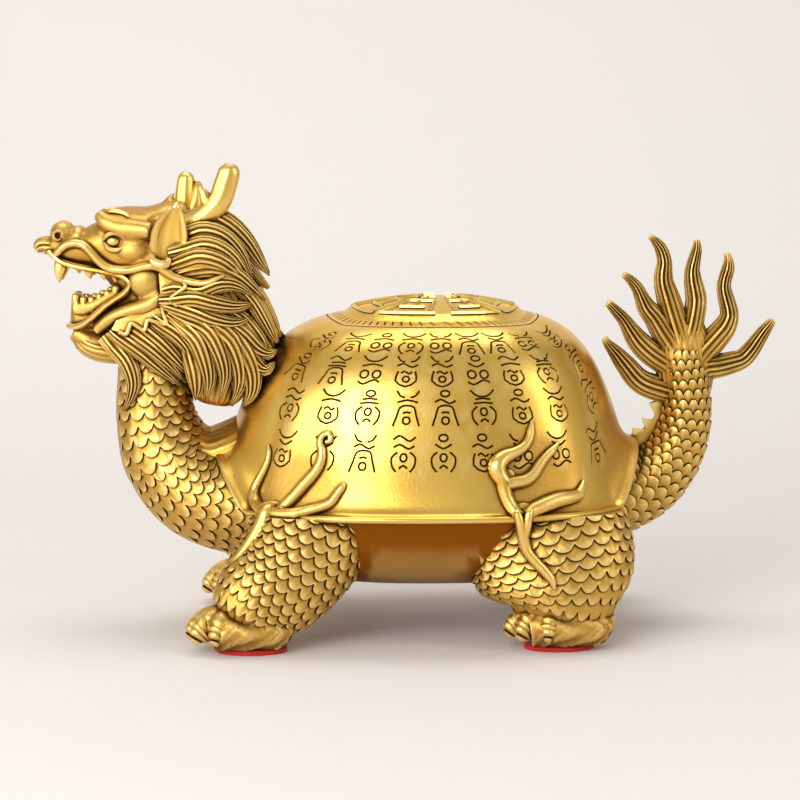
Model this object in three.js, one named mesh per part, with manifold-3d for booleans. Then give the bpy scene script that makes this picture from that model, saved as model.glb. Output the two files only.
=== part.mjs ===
// Dragon turtle figure: one brass casting that stands on four felt pads.
// Millimetres, +Z up, head towards -X, origin on the ground under the middle of the figure.

import * as THREE from "three";
import { mergeVertices } from "three/addons/utils/BufferGeometryUtils.js";
import Module from "manifold-3d";

// Driving dimensions
const LENGTH = 250;
const PAD_THICKNESS = 1.5;
const PAD_LENGTH = 23;
const PAD_WIDTH = 15;
const GLUE_GAP = 0.3;

// The figure's own numbers below are written for this length, and grow with LENGTH.
const DRAWN_LENGTH = 246.77;
const UNIT = LENGTH / DRAWN_LENGTH;
const SOLE_Z = PAD_THICKNESS + GLUE_GAP;
const SHORTEST_EDGE = 0.3 * UNIT;
// A seam between joined pieces may move by this much where its faces are too small to show.
const SEAM_CLEANING = 0.1 * UNIT;

const BRASS = { color: 0xb8862f, roughness: 0.32, metalness: 1.0 };
const FELT = { color: 0x8f1a14, roughness: 0.95, metalness: 0.0 };
const ACROSS = new THREE.Vector3(0, 1, 0);
const UPRIGHT = new THREE.Vector3(0, 0, 1);
const NEAR = -1;
const FAR = 1;

const wasm = await Module();
wasm.setup();

// Solids from meshes, and back

function solidOf(geometry) {
  const bare = geometry.clone();
  bare.deleteAttribute("normal");
  bare.deleteAttribute("uv");
  const merged = mergeVertices(bare, 1e-4);
  return new wasm.Manifold(new wasm.Mesh({
    numProp: 3,
    vertProperties: new Float32Array(merged.attributes.position.array),
    triVerts: new Uint32Array(merged.index.array),
    tolerance: SHORTEST_EDGE,
  }));
}

function geometryOf(solid) {
  const mesh = solid.getMesh();
  const geometry = new THREE.BufferGeometry();
  geometry.setAttribute("position", new THREE.BufferAttribute(mesh.vertProperties, 3));
  geometry.setIndex(new THREE.BufferAttribute(mesh.triVerts, 1));
  geometry.computeVertexNormals();
  return geometry;
}

function joined(solids) {
  return solids.reduce((whole, solid) => whole.add(solid));
}

function signedVolume(points, faces) {
  let volume = 0;
  const corner = new THREE.Vector3();
  for (let i = 0; i < faces.length; i += 3) {
    corner.crossVectors(points[faces[i + 1]], points[faces[i + 2]]);
    volume += points[faces[i]].dot(corner);
  }
  return volume;
}

// A closed skin over a row of rings that all have the same number of points.
function loft(rings) {
  const sides = rings[0].length;
  const points = rings.flat();
  const faces = [];
  for (let row = 0; row + 1 < rings.length; row++) {
    for (let i = 0; i < sides; i++) {
      const here = row * sides + i;
      const beside = row * sides + (i + 1) % sides;
      faces.push(here, beside, beside + sides, here, beside + sides, here + sides);
    }
  }
  for (const row of [0, rings.length - 1]) {
    const middle = new THREE.Vector3();
    rings[row].forEach((point) => middle.add(point));
    points.push(middle.divideScalar(sides));
    for (let i = 0; i < sides; i++) {
      const here = row * sides + i;
      const beside = row * sides + (i + 1) % sides;
      faces.push(...(row === 0 ? [beside, here] : [here, beside]), points.length - 1);
    }
  }
  if (signedVolume(points, faces) < 0) {
    for (let i = 0; i < faces.length; i += 3) {
      [faces[i], faces[i + 1]] = [faces[i + 1], faces[i]];
    }
  }
  const geometry = new THREE.BufferGeometry().setFromPoints(points);
  geometry.setIndex(faces);
  return solidOf(geometry);
}

// A bar of oval section along a smooth curve that runs about square to the axis. Each station
// is [x, y, z, half thickness square to the axis, half width along it].
function sweep(stations, { sides = 6, steps = 6, axis = ACROSS } = {}) {
  const scaled = stations.map((station) => station.map((value) => value * UNIT));
  const curve = new THREE.CatmullRomCurve3(
    scaled.map(([x, y, z]) => new THREE.Vector3(x, y, z)), false, "catmullrom", 0.5);
  const rings = [];
  for (let step = 0; step <= steps; step++) {
    const t = step / steps;
    const place = t * (scaled.length - 1);
    const before = Math.min(Math.floor(place), scaled.length - 2);
    const share = place - before;
    const half = [3, 4].map((k) => THREE.MathUtils.lerp(
      scaled[before][k], scaled[before + 1][k], share));
    const tangent = curve.getTangent(t);
    const flat = new THREE.Vector3().crossVectors(tangent, axis).normalize();
    const side = new THREE.Vector3().crossVectors(flat, tangent).normalize();
    const middle = curve.getPoint(t);
    rings.push(Array.from({ length: sides }, (_, i) => {
      const angle = (2 * Math.PI * i) / sides;
      return middle.clone()
        .addScaledVector(flat, half[0] * Math.cos(angle))
        .addScaledVector(side, half[1] * Math.sin(angle));
    }));
  }
  return loft(rings);
}

function ball(x, y, z, radius, stretch = [1, 1, 1]) {
  const geometry = new THREE.OctahedronGeometry(radius * UNIT, 1);
  geometry.scale(...stretch);
  geometry.translate(x * UNIT, y * UNIT, z * UNIT);
  return solidOf(geometry);
}

function onSide(stations, side) {
  return stations.map(([x, y, z, ...sizes]) => [x, y * side, z, ...sizes]);
}

function onBothSides(stations, options) {
  return [NEAR, FAR].map((side) => sweep(onSide(stations, side), options));
}

// The trunk: a domed shell with a flared rim, and the belly under it.

const SHELL = {
  crownX: 11.5,
  frontX: -62.5,
  rearX: 76,
  halfWidth: 51,
  topZ: 109.6,
  sideRimZ: 45,
  endRimZ: 63.5,
  levelShare: 0.86,
  squareness: 2.5,
  bellyZ: 18,
  rimThickness: 2.2,
};

// Rows of the dome from crown to rim: [share of the way out, share of the height, relief].
const MEDALLION_RELIEF = 1.2;
const DOME_ROWS = [
  [0.18, 0.985, MEDALLION_RELIEF], [0.4, 0.926, MEDALLION_RELIEF], [0.43, 0.916, 0],
  [0.58, 0.85, 0], [0.7, 0.735, 0], [0.8, 0.55, 0], [0.88, 0.3, 0], [0.935, 0.08, 0], [1, 0, 0],
];
// Rows of the belly from the rim inwards: [share of the way in, share of the depth].
const BELLY_ROWS = [[0.9, 1], [0.86, 0.55], [0.74, 0.17], [0.45, 0.02]];

// The rim stays level along the sides and turns up near the ends.
function rimHeight(reach) {
  const rise = Math.max(0, (reach - SHELL.levelShare) / (1 - SHELL.levelShare)) ** 1.3;
  return SHELL.sideRimZ + (SHELL.endRimZ - SHELL.sideRimZ) * rise;
}

function lengthwiseReach(towards) {
  return towards < 0 ? SHELL.crownX - SHELL.frontX : SHELL.rearX - SHELL.crownX;
}

function rimPoint(angle) {
  const power = 2 / SHELL.squareness;
  const along = Math.sign(Math.cos(angle)) * Math.abs(Math.cos(angle)) ** power;
  const sideways = Math.sign(Math.sin(angle)) * Math.abs(Math.sin(angle)) ** power;
  return {
    x: along * lengthwiseReach(along),
    y: sideways * SHELL.halfWidth,
    z: rimHeight(Math.abs(along)),
  };
}

function trunkRing(share, heightAt) {
  const sides = 28;
  return Array.from({ length: sides }, (_, i) => {
    const rim = rimPoint((2 * Math.PI * i) / sides);
    return new THREE.Vector3(SHELL.crownX + rim.x * share, rim.y * share, heightAt(rim.z))
      .multiplyScalar(UNIT);
  });
}

function trunk() {
  const dome = DOME_ROWS.map(([share, height, relief]) => trunkRing(share,
    (rimZ) => rimZ + (SHELL.topZ - rimZ) * height + relief));
  const edge = trunkRing(0.995, (rimZ) => rimZ - SHELL.rimThickness);
  const belly = BELLY_ROWS.map(([share, depth]) => trunkRing(share,
    (rimZ) => SHELL.bellyZ + (rimZ - SHELL.rimThickness - SHELL.bellyZ) * depth));
  return loft([...dome, edge, ...belly]);
}

// How far out from the middle plane the dome's surface is at a place seen from the side.
function shellSide(x, z) {
  const along = x - SHELL.crownX;
  const reach = Math.abs(along) / lengthwiseReach(along);
  let inside = 0;
  let outside = SHELL.halfWidth;
  for (let i = 0; i < 24; i++) {
    const y = (inside + outside) / 2;
    const share = (reach ** SHELL.squareness + (y / SHELL.halfWidth) ** SHELL.squareness)
      ** (1 / SHELL.squareness);
    if (share < 1 && domeHeight(share, reach / share) > z) inside = y;
    else outside = y;
  }
  return outside;
}

function domeHeight(share, reach) {
  const rimZ = rimHeight(reach);
  const next = Math.max(1, DOME_ROWS.findIndex(([out]) => out >= share));
  const [lowOut, lowHeight] = DOME_ROWS[next - 1];
  const [highOut, highHeight] = DOME_ROWS[next];
  const part = THREE.MathUtils.clamp((share - lowOut) / (highOut - lowOut), 0, 1);
  return rimZ + (SHELL.topZ - rimZ) * THREE.MathUtils.lerp(lowHeight, highHeight, part);
}

// The neck, S-shaped, from the chest up to the back of the head, and the web of skin that joins
// it to the shell's front rim.

function neck() {
  const web = sweep([
    [-78, 0, 60, 9, 10],
    [-66, 0, 59.5, 8, 12],
    [-54, 0, 60, 7, 14],
  ], { sides: 8, steps: 2 });
  const stem = sweep([
    [-38, 0, 44, 21, 30],
    [-54, 0, 44, 19.5, 27],
    [-68.5, 0, 47.5, 17.5, 22],
    [-78.5, 0, 57, 15.5, 17.3],
    [-83, 0, 70, 12.9, 13.4],
    [-83, 0, 84, 12.3, 12.3],
    [-82, 0, 97, 12.5, 12.5],
  ], { sides: 10, steps: 7 });
  return joined([stem, web]);
}

// The head, facing -X, with its mouth open from side to side.

function head() {
  const upper = sweep([
    [-117, 0, 127.4, 3, 5.6],
    [-113.5, 0, 128, 6, 8],
    [-106, 0, 127, 6.8, 9.2],
    [-98.5, 0, 128, 10.6, 11],
    [-90, 0, 125.5, 15, 13],
    [-81, 0, 121, 17, 14],
    [-73, 0, 118, 15, 13],
  ], { sides: 10, steps: 7 });
  const lower = sweep([
    [-109.3, 0, 103.4, 2.4, 5.4],
    [-106, 0, 103.8, 4, 7.6],
    [-101, 0, 105, 4.8, 9.2],
    [-94.5, 0, 107, 6.2, 11],
    [-86, 0, 109.5, 10, 12],
  ], { sides: 8, steps: 4 });
  const lowerLip = sweep([
    [-107.4, 0, 112, 1.5, 4.4],
    [-107.2, 0, 106.5, 2.2, 5.8],
    [-107.8, 0, 101, 2.4, 5.6],
  ], { sides: 6, steps: 2 });
  const beard = sweep([
    [-108.5, 0, 99, 2.5, 5],
    [-105, 0, 95.8, 5, 7.5],
    [-99, 0, 94.3, 5.6, 8.2],
    [-92, 0, 94.4, 5.6, 8.2],
    [-87, 0, 97, 4, 7],
  ], { sides: 6, steps: 4 });
  const fringe = sweep([
    [-112, 0, 127, 4, 6.6],
    [-118.5, 0, 127.7, 3, 5.6],
    [-121.9, 0, 126.2, 1.3, 3.6],
  ], { sides: 6, steps: 2 });
  const whiskers = onBothSides([
    [-113.5, 7.5, 126.5, 1.6, 1.8],
    [-107.8, 9.3, 129, 1.5, 1.8],
    [-101.5, 11, 122.8, 1.5, 1.8],
    [-92, 13.4, 120.1, 1.5, 1.8],
    [-82, 16.2, 121.8, 1.5, 1.8],
    [-73, 18, 117.6, 1.4, 1.8],
    [-59.5, 19.4, 118.8, 0.8, 1.2],
  ], { sides: 4, steps: 6 });
  const brows = onBothSides([
    [-99.8, 7.5, 136.5, 2.6, 3],
    [-95.5, 9.5, 134.6, 3.1, 3.2],
    [-89.5, 11.5, 133.4, 3.2, 3.2],
    [-83, 13, 133, 2.6, 2.6],
  ], { sides: 4, steps: 3 });
  const jawRolls = onBothSides([
    [-80.5, 14, 113, 2.6, 2.6],
    [-86.5, 13.5, 111.5, 2.6, 2.6],
    [-92.5, 12.5, 108.8, 2.5, 2.5],
    [-98, 10.5, 105, 2.3, 2.3],
    [-103, 8, 101.4, 1.6, 1.8],
  ], { sides: 4, steps: 3 });
  const lips = onBothSides([
    [-115.5, 6, 125.2, 1.1, 2],
    [-109, 8.3, 121.8, 1.2, 2.2],
    [-99, 10.4, 120, 1.2, 2],
    [-90.4, 12.2, 116.4, 1.2, 2],
    [-95.5, 11.3, 110.6, 1.2, 2],
    [-102, 9.5, 105.3, 1.1, 2],
    [-109.8, 4.6, 101.6, 1.1, 2],
  ], { sides: 4, steps: 5 });
  const fangs = onBothSides([
    [-111.6, 5.4, 125, 2.8, 2.6],
    [-112.9, 6.8, 115.9, 0.3, 0.4],
  ], { sides: 4, steps: 1 });
  const collar = [
    plates([[-83, 119], [-77.5, 121], [-71.7, 115.9], [-76.9, 111.1], [-71.7, 107.2], [-80, 107]],
      10, 18.2),
    plates([[-81.2, 109.8], [-78.2, 103.2], [-86, 101.5], [-93.8, 100.5], [-95, 106]], 9.5, 15.8),
  ].flat();
  const paired = [NEAR, FAR].flatMap((side) => [
    ball(-84.6, side * 12.8, 117.2, 6.2),
    ball(-96, side * 10.6, 129.6, 2.3),
    ball(-112, side * 3.8, 131.6, 4.5),
  ]);
  return joined([upper, lower, lowerLip, beard, fringe, ...whiskers, ...brows, ...jawRolls,
    ...lips, ...fangs, ...collar, ...paired]);
}

// A plate on each side of the head, seen from the side as outline, from inner out to outer.
function plates(outline, inner, outer) {
  const shape = new THREE.Shape(outline.map(([x, z]) => new THREE.Vector2(x * UNIT, z * UNIT)));
  return [NEAR, FAR].map((side) => {
    const plate = new THREE.ExtrudeGeometry(shape,
      { depth: (outer - inner) * UNIT, bevelEnabled: false });
    plate.rotateX(Math.PI / 2);
    plate.translate(0, (side === NEAR ? -inner : outer) * UNIT, 0);
    return solidOf(plate);
  });
}

function ears() {
  return joined(onBothSides([
    [-78, 12.5, 123.5, 3, 2.4],
    [-78.2, 15, 129.5, 5.6, 2.4],
    [-77.7, 16.5, 134.5, 5.2, 2],
    [-76.2, 17.2, 138.5, 3.2, 1.6],
    [-74.5, 17.6, 142.8, 0.5, 0.6],
  ], { sides: 6, steps: 4 }));
}

// The near antler is long with a stub tine, and the far one is a short fork.
function antlers() {
  const near = sweep([
    [-74, -8, 134, 3.6, 3.2],
    [-66.5, -9.5, 137, 4, 3.4],
    [-61, -10, 142.4, 4.1, 3.4],
    [-58.5, -10, 148.8, 4, 3.2],
    [-57.2, -10, 154.3, 2.6, 2.2],
  ], { sides: 6, steps: 4 });
  const nearTine = sweep([
    [-62.5, -9.8, 139, 3, 2.6],
    [-65, -9.8, 143, 2.4, 2.2],
    [-66.4, -9.8, 146.2, 1.2, 1.2],
  ], { sides: 4, steps: 2 });
  const far = sweep([
    [-76, 7.5, 134, 4.6, 3.6],
    [-73, 8.5, 140.5, 3.8, 3.2],
    [-72.6, 9, 146, 3.2, 2.8],
    [-72, 9.5, 151.4, 1.6, 1.6],
  ], { sides: 5, steps: 3 });
  const farTine = sweep([
    [-71, 8, 136.5, 3.6, 3],
    [-69, 8.5, 142.5, 2.8, 2.6],
    [-68.4, 9, 148, 1.2, 1.2],
  ], { sides: 4, steps: 2 });
  return joined([near, nearTine, far, farTine]);
}

// The mane: a body of hair behind the head, and pointed locks that fall back over it.

function mane() {
  const body = sweep([
    [-84, 0, 124, 14, 13],
    [-72.5, 0, 119.5, 15.5, 16.5],
    [-63, 0, 110, 14.5, 18],
    [-60, 0, 97, 12.5, 18.2],
    [-61.5, 0, 86, 10.5, 16.5],
    [-63.4, 0, 77.2, 6.5, 11],
  ], { sides: 10, steps: 6 });
  const locks = [
    [[-72.5, 8, 132.5], [-64.7, 9, 136], [-57.5, 9.5, 132], [-51.5, 9, 125.5], [-45.5, 7, 118.5]],
    [[-72.4, 14.5, 128.5], [-65.5, 15.5, 130], [-59, 16, 127], [-54, 14.5, 120.5], [-50.5, 12.5, 115]],
    [[-71, 16.5, 121.5], [-64.5, 17.3, 122.7], [-57.7, 17.4, 120.5], [-52, 15.6, 115.5],
      [-47.5, 13.5, 111.5]],
    [[-75, 16.5, 114.2], [-67.7, 18, 113.5], [-60.9, 18.5, 115.5], [-54.7, 18, 115], [-48.9, 15.5, 111]],
    [[-76, 16.5, 109.6], [-69, 18.2, 109], [-62.5, 18.7, 106.5], [-55.4, 17.7, 105.2],
      [-49, 15.2, 107]],
    [[-59.3, 16.3, 103.5], [-53.2, 16.5, 97.5], [-49, 16.8, 92], [-45.5, 17.5, 90.5],
      [-42.8, 19, 93]],
    [[-62, 16.5, 102.2], [-56.4, 17.5, 95.4], [-52.8, 17.5, 87.6], [-52.8, 17, 80.6],
      [-56, 15.5, 75.6]],
    [[-74, 15.8, 104.8], [-67, 17.6, 100.2], [-63.2, 18, 93], [-62, 17, 85.2], [-63.8, 14.5, 77.4]],
    [[-79.9, 15, 103.4], [-74.3, 16, 99], [-70.7, 16, 93.3], [-71.5, 14.2, 86.5]],
    [[-92, 12.2, 99.6], [-85.4, 13.8, 94.8], [-79, 14.2, 89], [-73, 13, 83]],
  ].flatMap((points) => onBothSides(points.map(([x, y, z], i) => {
    const share = i / (points.length - 1);
    const fullness = Math.sin(Math.PI * Math.min(0.94, 0.25 + 0.72 * share)) + 0.08;
    return [x, y, z, 4.2 * fullness, 3 * fullness];
  }), { sides: 4, steps: 3 }));
  const crest = [
    [[-80, 0, 130], [-71, 0, 133.5], [-63, 0, 131.5], [-56, 0, 125.5], [-47, 0, 115]],
    [[-64, 0, 120], [-55, 0, 115], [-48, 0, 108], [-42.5, 0, 99]],
    [[-60, 0, 104], [-52.5, 0, 97.5], [-48.5, 0, 90.5], [-49.5, 0, 82]],
  ].map((points) => sweep(points.map(([x, y, z], i) => {
    const fullness = 1 - 0.85 * (i / (points.length - 1)) ** 2;
    return [x, y, z, 4.5 * fullness, 13 * fullness];
  }), { sides: 6, steps: 3 }));
  const throatLocks = onBothSides([
    [-97, 9.4, 97.5, 3, 3],
    [-91.2, 12, 90.6, 3.6, 3],
    [-89.4, 12.4, 84, 3.2, 2.6],
    [-90.3, 11.8, 78.6, 2.2, 1.8],
    [-92.7, 10.5, 74.2, 0.5, 0.5],
  ], { sides: 4, steps: 4 });
  return joined([body, ...locks, ...crest, ...throatLocks]);
}

// Legs, each one bowed outwards onto a low foot with toes fanned round the ankle.

const FRONT_LEG = {
  shank: [[-28, 30, 44, 18.5, 14], [-33, 34, 34, 18.8, 14], [-40, 37, 23.5, 16.4, 12.5],
    [-47.5, 38.5, 15.5, 13.6, 11.5], [-52.5, 39, 9.5, 12.3, 11], [-54.5, 39, 5, 11.5, 10.5]],
  footX: -55.4,
  padX: -51.2,
  footY: 39,
  reach: 15.6,
  toeTurns: [-42, -8, 28, 62],
  farShift: 3,
};
const HIND_LEG = {
  shank: [[41, 30, 44, 23, 14], [44.5, 34, 33, 26.5, 14.5], [47, 37, 21.5, 24.5, 13.5],
    [47.6, 38.5, 13.5, 18, 11.5], [46.8, 39, 7, 15.8, 10.5]],
  footX: 45.6,
  padX: 47.4,
  footY: 39,
  reach: 16,
  toeTurns: [-38, 0, 38, 76],
  farShift: 9,
};
// A foot is narrower across than it is long.
const FOOT_NARROWING = 0.66;
// A toe from its root to its claw: [share of the foot's reach, height, half width, half height].
const TOE = [[0.4, 8, 4.1, 5.2], [0.86, 6.2, 4, 5], [1.01, 4.2, 1.1, 1.4]];

function legShift(leg, side) {
  return side === FAR ? leg.farShift * UNIT : 0;
}

function foot(leg, side) {
  const sole = SOLE_Z / UNIT;
  const heel = sweep(onSide([
    [leg.footX + leg.reach + 1.2, leg.footY, sole + 4.6, 4.2, 5.5],
    [leg.footX + leg.reach - 3.4, leg.footY, sole + 5.2, 6, 9],
    [leg.footX - 9, leg.footY, sole + 5.4, 6.4, 10],
  ], side), { sides: 6, steps: 2 });
  const toes = leg.toeTurns.map((turn) => {
    const ahead = -Math.cos(THREE.MathUtils.degToRad(turn));
    const outward = FOOT_NARROWING * Math.sin(THREE.MathUtils.degToRad(turn));
    return sweep(onSide(TOE.map(([share, height, width, tall]) => [
      leg.footX + ahead * leg.reach * share,
      leg.footY + outward * leg.reach * share,
      sole + height, width, tall,
    ]), side), { sides: 5, steps: 2, axis: UPRIGHT });
  });
  return joined([heel, ...toes]);
}

// All the space over the shell's rim, also beside it.
function aboveRim() {
  const middle = SHELL.rimThickness / 2;
  const high = 2 * SHELL.topZ;
  return loft([
    trunkRing(0.02, (rimZ) => rimZ - middle),
    trunkRing(1, (rimZ) => rimZ - middle),
    trunkRing(1.5, (rimZ) => rimZ - middle),
    trunkRing(1.5, () => high),
    trunkRing(0.02, () => high),
  ]);
}

function legs() {
  const shanks = [FRONT_LEG, HIND_LEG].flatMap((leg) => [NEAR, FAR].map((side) => sweep(
    onSide(leg.shank, side), { sides: 8, steps: 5 }).translate([legShift(leg, side), 0, 0])));
  const feet = [FRONT_LEG, HIND_LEG].flatMap((leg) => [NEAR, FAR].map((side) => foot(leg, side)
    .translate([legShift(leg, side), 0, 0])));
  return joined([joined(shanks).subtract(aboveRim()), ...feet]);
}

// How far out the leg's skin is at a place seen from the side.
function legSide(leg, x, z) {
  const next = Math.max(1, leg.shank.findIndex(([, , height]) => height <= z));
  const [high, low] = [leg.shank[next - 1], leg.shank[next]];
  const share = THREE.MathUtils.clamp((high[2] - z) / (high[2] - low[2]), 0, 1);
  const [legX, legY, , halfX, halfY] = high.map(
    (value, k) => THREE.MathUtils.lerp(value, low[k], share));
  const aside = THREE.MathUtils.clamp((x - legX) / halfX, -0.9, 0.9);
  return legY + halfY * Math.sqrt(1 - aside * aside);
}

// Raised branches on the shell's sides, one above each leg.

const TWIG_HALF = 1.9;
const TWIG_TIP_HALF = 0.8;
const STEM_HALF = 1.8;
// How far the middle of a branch lies under the skin it grows on.
const BRANCH_SINK = 0.6;
// Twigs on the shell, from their fork to their tip, as seen from the side.
const TWIGS = [
  [[-46, 46], [-50.2, 49], [-48, 55.2], [-45.8, 60.4], [-45.6, 65]],
  [[-43, 46], [-36.5, 51.5], [-31, 57.5], [-28.6, 63.5], [-29, 68.5], [-26.5, 69.5]],
  [[-46, 46], [-37, 46], [-28.7, 47.5], [-24.3, 51], [-21.4, 54.9]],
  [[29.2, 55], [26.7, 60.5], [31, 64], [36.5, 67.5], [38.3, 74]],
  [[29.6, 54.6], [36, 55.8], [40.8, 60.6], [46.8, 66.4]],
  [[34, 46.2], [40.3, 47.4], [47, 49.1], [53.5, 50.2], [55.2, 53.9]],
  [[28.6, 56], [30, 50.5], [33.5, 46.2]],
];
// Their stems over the rim and down the legs, which end in the leg's skin.
const STEMS = [
  [FRONT_LEG, [[-45, 46.5], [-47, 42.5], [-49.8, 37.5], [-53, 33.4], [-57, 29.5]]],
  [HIND_LEG, [[33.5, 47], [34.8, 41.5], [35.4, 35], [39, 31], [43.5, 25.5], [44.5, 21.5]]],
];

function twig(points) {
  return points.map(([x, z], i) => {
    const half = THREE.MathUtils.lerp(TWIG_HALF, TWIG_TIP_HALF, i / (points.length - 1));
    return [x, shellSide(x, z) - BRANCH_SINK, z, half, half + 2 * BRANCH_SINK];
  });
}

// A stem lies on whatever is further out, the rim or the leg, and moves with the leg.
function stem(leg, points, side) {
  return points.map(([x, z], i) => {
    const share = i / (points.length - 1);
    const onRim = z > SHELL.sideRimZ - SHELL.rimThickness ? shellSide(x, z) : 0;
    const half = STEM_HALF * (1 - 0.5 * share ** 3);
    return [x + (legShift(leg, side) / UNIT) * Math.min(1, 2 * share),
      Math.max(onRim, legSide(leg, x, z)) - BRANCH_SINK, z, half, half + 3 * BRANCH_SINK];
  });
}

function branches() {
  return joined([NEAR, FAR].flatMap((side) => [
    ...TWIGS.map((points) => sweep(onSide(twig(points), side), { sides: 4, steps: 3 })),
    ...STEMS.map(([leg, points]) => sweep(onSide(stem(leg, points, side), side),
      { sides: 4, steps: 4 })),
  ]));
}

// The tail rises behind the shell, with a toothed fin inside its bend.

function tail() {
  const body = sweep([
    [60, 0, 44, 16, 18],
    [72, 0, 44.5, 13.8, 15.5],
    [81.5, 0, 48, 11.8, 12.5],
    [88.3, 0, 54.5, 10.2, 10.8],
    [92.6, 0, 63, 9.1, 9.5],
    [94.4, 0, 73, 8.2, 8.4],
    [94.2, 0, 83, 7.1, 7.6],
    [93.6, 0, 95, 3, 4.5],
  ], { sides: 10, steps: 8 });
  const outline = [[90, 76.5], [81.9, 74.3], [83.6, 69], [79.6, 69.3], [80.4, 65.8], [76.6, 65.9],
    [75.5, 63], [71.9, 65.3], [68, 64], [72, 56], [80, 52], [92, 62]];
  const shape = new THREE.Shape(outline.map(([x, z]) => new THREE.Vector2(x * UNIT, z * UNIT)));
  const finHalf = 1.3 * UNIT;
  const fin = new THREE.ExtrudeGeometry(shape, { depth: 2 * finHalf, bevelEnabled: false });
  fin.rotateX(Math.PI / 2);
  fin.translate(0, finHalf, 0);
  return joined([body, solidOf(fin)]);
}

// Seven flame-shaped tufts fan out from the tail's tip: [x, z, half width] as seen from the side.
const PLUME = [
  [[94, 77.5, 4.2], [80, 81.2, 4.4], [72.2, 89.4, 3], [67.9, 94.3, 1.7], [66.5, 96.8, 0.5]],
  [[94, 84, 4.6], [82, 91.6, 4.4], [75.6, 98.6, 3.1], [70.8, 105, 2], [67.4, 108.4, 0.9]],
  [[95, 86, 4.6], [84.5, 101.5, 4], [79.1, 109.6, 2.6], [75.5, 115.4, 1.8], [72.6, 117.8, 0.8]],
  [[95, 88, 4.6], [89.4, 104.5, 4.2], [86.2, 117, 3.3], [85.6, 125.3, 2.3], [81.4, 130.2, 0.7]],
  [[93.5, 86, 4.6], [96.4, 102.2, 4], [96.3, 115, 3.2], [96.4, 122.6, 2.3], [97.3, 129, 0.8]],
  [[94, 82, 4.6], [103.2, 95.1, 4.4], [108.5, 104.5, 3.4], [106.7, 114.5, 2.5], [107.6, 125, 0.8]],
  [[94, 82, 4.6], [104.4, 86.7, 4.2], [113.8, 89.4, 3.5], [118.6, 95.8, 2.6], [123.6, 102.3, 0.9]],
];

function plume() {
  const palm = sweep([
    [94, 0, 72, 7, 6],
    [94, 0, 82, 9.5, 6.2],
    [93.5, 0, 92, 10, 5.6],
    [93, 0, 101, 7, 4],
  ], { sides: 8, steps: 3 });
  const tufts = PLUME.map((line) => sweep(line.map(([x, z, half], i) => {
    const share = i / (line.length - 1);
    return [x, 0, z, 1.05 * half, Math.max(0.8 * half, 5.4 * (1 - 0.85 * share))];
  }), { sides: 4, steps: 4 }));
  return joined([palm, ...tufts]);
}

function brassCasting() {
  const whole = joined([trunk(), neck(), head(), ears(), antlers(), mane(), legs(), branches(),
    tail(), plume()]);
  const below = new THREE.BoxGeometry(2 * LENGTH, LENGTH, LENGTH);
  below.translate(0, 0, SOLE_Z - LENGTH / 2);
  return whole.subtract(solidOf(below)).asOriginal().simplify(SEAM_CLEANING);
}

// An oval felt pad, glued under a foot.
function feltPad(leg, side) {
  const shape = new THREE.Shape();
  shape.absellipse(0, 0, PAD_LENGTH / 2, PAD_WIDTH / 2, 0, 2 * Math.PI);
  const geometry = new THREE.ExtrudeGeometry(shape,
    { depth: PAD_THICKNESS, bevelEnabled: false, curveSegments: 10 });
  geometry.translate(leg.padX * UNIT + legShift(leg, side), side * leg.footY * UNIT, 0);
  return geometryOf(solidOf(geometry));
}

const figure = new THREE.Group();

function addPiece(name, geometry, finish) {
  const mesh = new THREE.Mesh(geometry, new THREE.MeshStandardMaterial(finish));
  mesh.name = name;
  figure.add(mesh);
}

addPiece("dragon_turtle_casting", geometryOf(brassCasting()), BRASS);
addPiece("felt_pad_front_left", feltPad(FRONT_LEG, NEAR), FELT);
addPiece("felt_pad_front_right", feltPad(FRONT_LEG, FAR), FELT);
addPiece("felt_pad_hind_left", feltPad(HIND_LEG, NEAR), FELT);
addPiece("felt_pad_hind_right", feltPad(HIND_LEG, FAR), FELT);

// The origin is on the ground under the middle of the figure's length and width.
const middle = new THREE.Box3().setFromObject(figure).getCenter(new THREE.Vector3());
figure.position.set(-middle.x, -middle.y, 0);

export default figure;
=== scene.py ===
import math
import random

import bpy
import numpy as np
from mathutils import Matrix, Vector


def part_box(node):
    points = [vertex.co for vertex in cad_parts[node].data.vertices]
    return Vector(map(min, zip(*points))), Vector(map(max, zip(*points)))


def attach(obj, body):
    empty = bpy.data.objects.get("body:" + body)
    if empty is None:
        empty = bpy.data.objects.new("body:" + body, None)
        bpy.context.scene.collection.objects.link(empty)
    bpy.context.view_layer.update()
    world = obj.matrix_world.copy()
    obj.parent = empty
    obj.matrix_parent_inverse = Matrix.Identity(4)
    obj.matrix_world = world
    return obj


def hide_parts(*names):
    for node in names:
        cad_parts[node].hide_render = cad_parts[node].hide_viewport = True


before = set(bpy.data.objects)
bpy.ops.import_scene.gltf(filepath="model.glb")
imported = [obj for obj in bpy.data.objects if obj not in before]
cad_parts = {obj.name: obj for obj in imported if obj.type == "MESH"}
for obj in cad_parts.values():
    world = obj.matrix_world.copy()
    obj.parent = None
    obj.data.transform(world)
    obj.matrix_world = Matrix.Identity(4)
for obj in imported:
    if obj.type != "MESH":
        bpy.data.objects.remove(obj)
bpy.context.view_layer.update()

# The casting is modelled in drawn millimetres and brought to the frame's size at the end.
CASTING = "dragon_turtle_casting"
DRAWN_LENGTH = 246.77
DRAWN_NOSE_X = -122.425
box_low, box_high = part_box(CASTING)
UNIT = (box_high.x - box_low.x) / DRAWN_LENGTH
SHIFT_X = box_low.x - DRAWN_NOSE_X * UNIT
SOLE_Z = box_low.z / UNIT

NEAR = -1
FAR = 1
ACROSS = np.array([0.0, 1.0, 0.0])
UPRIGHT = np.array([0.0, 0.0, 1.0])
THINNEST = 0.05

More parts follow.
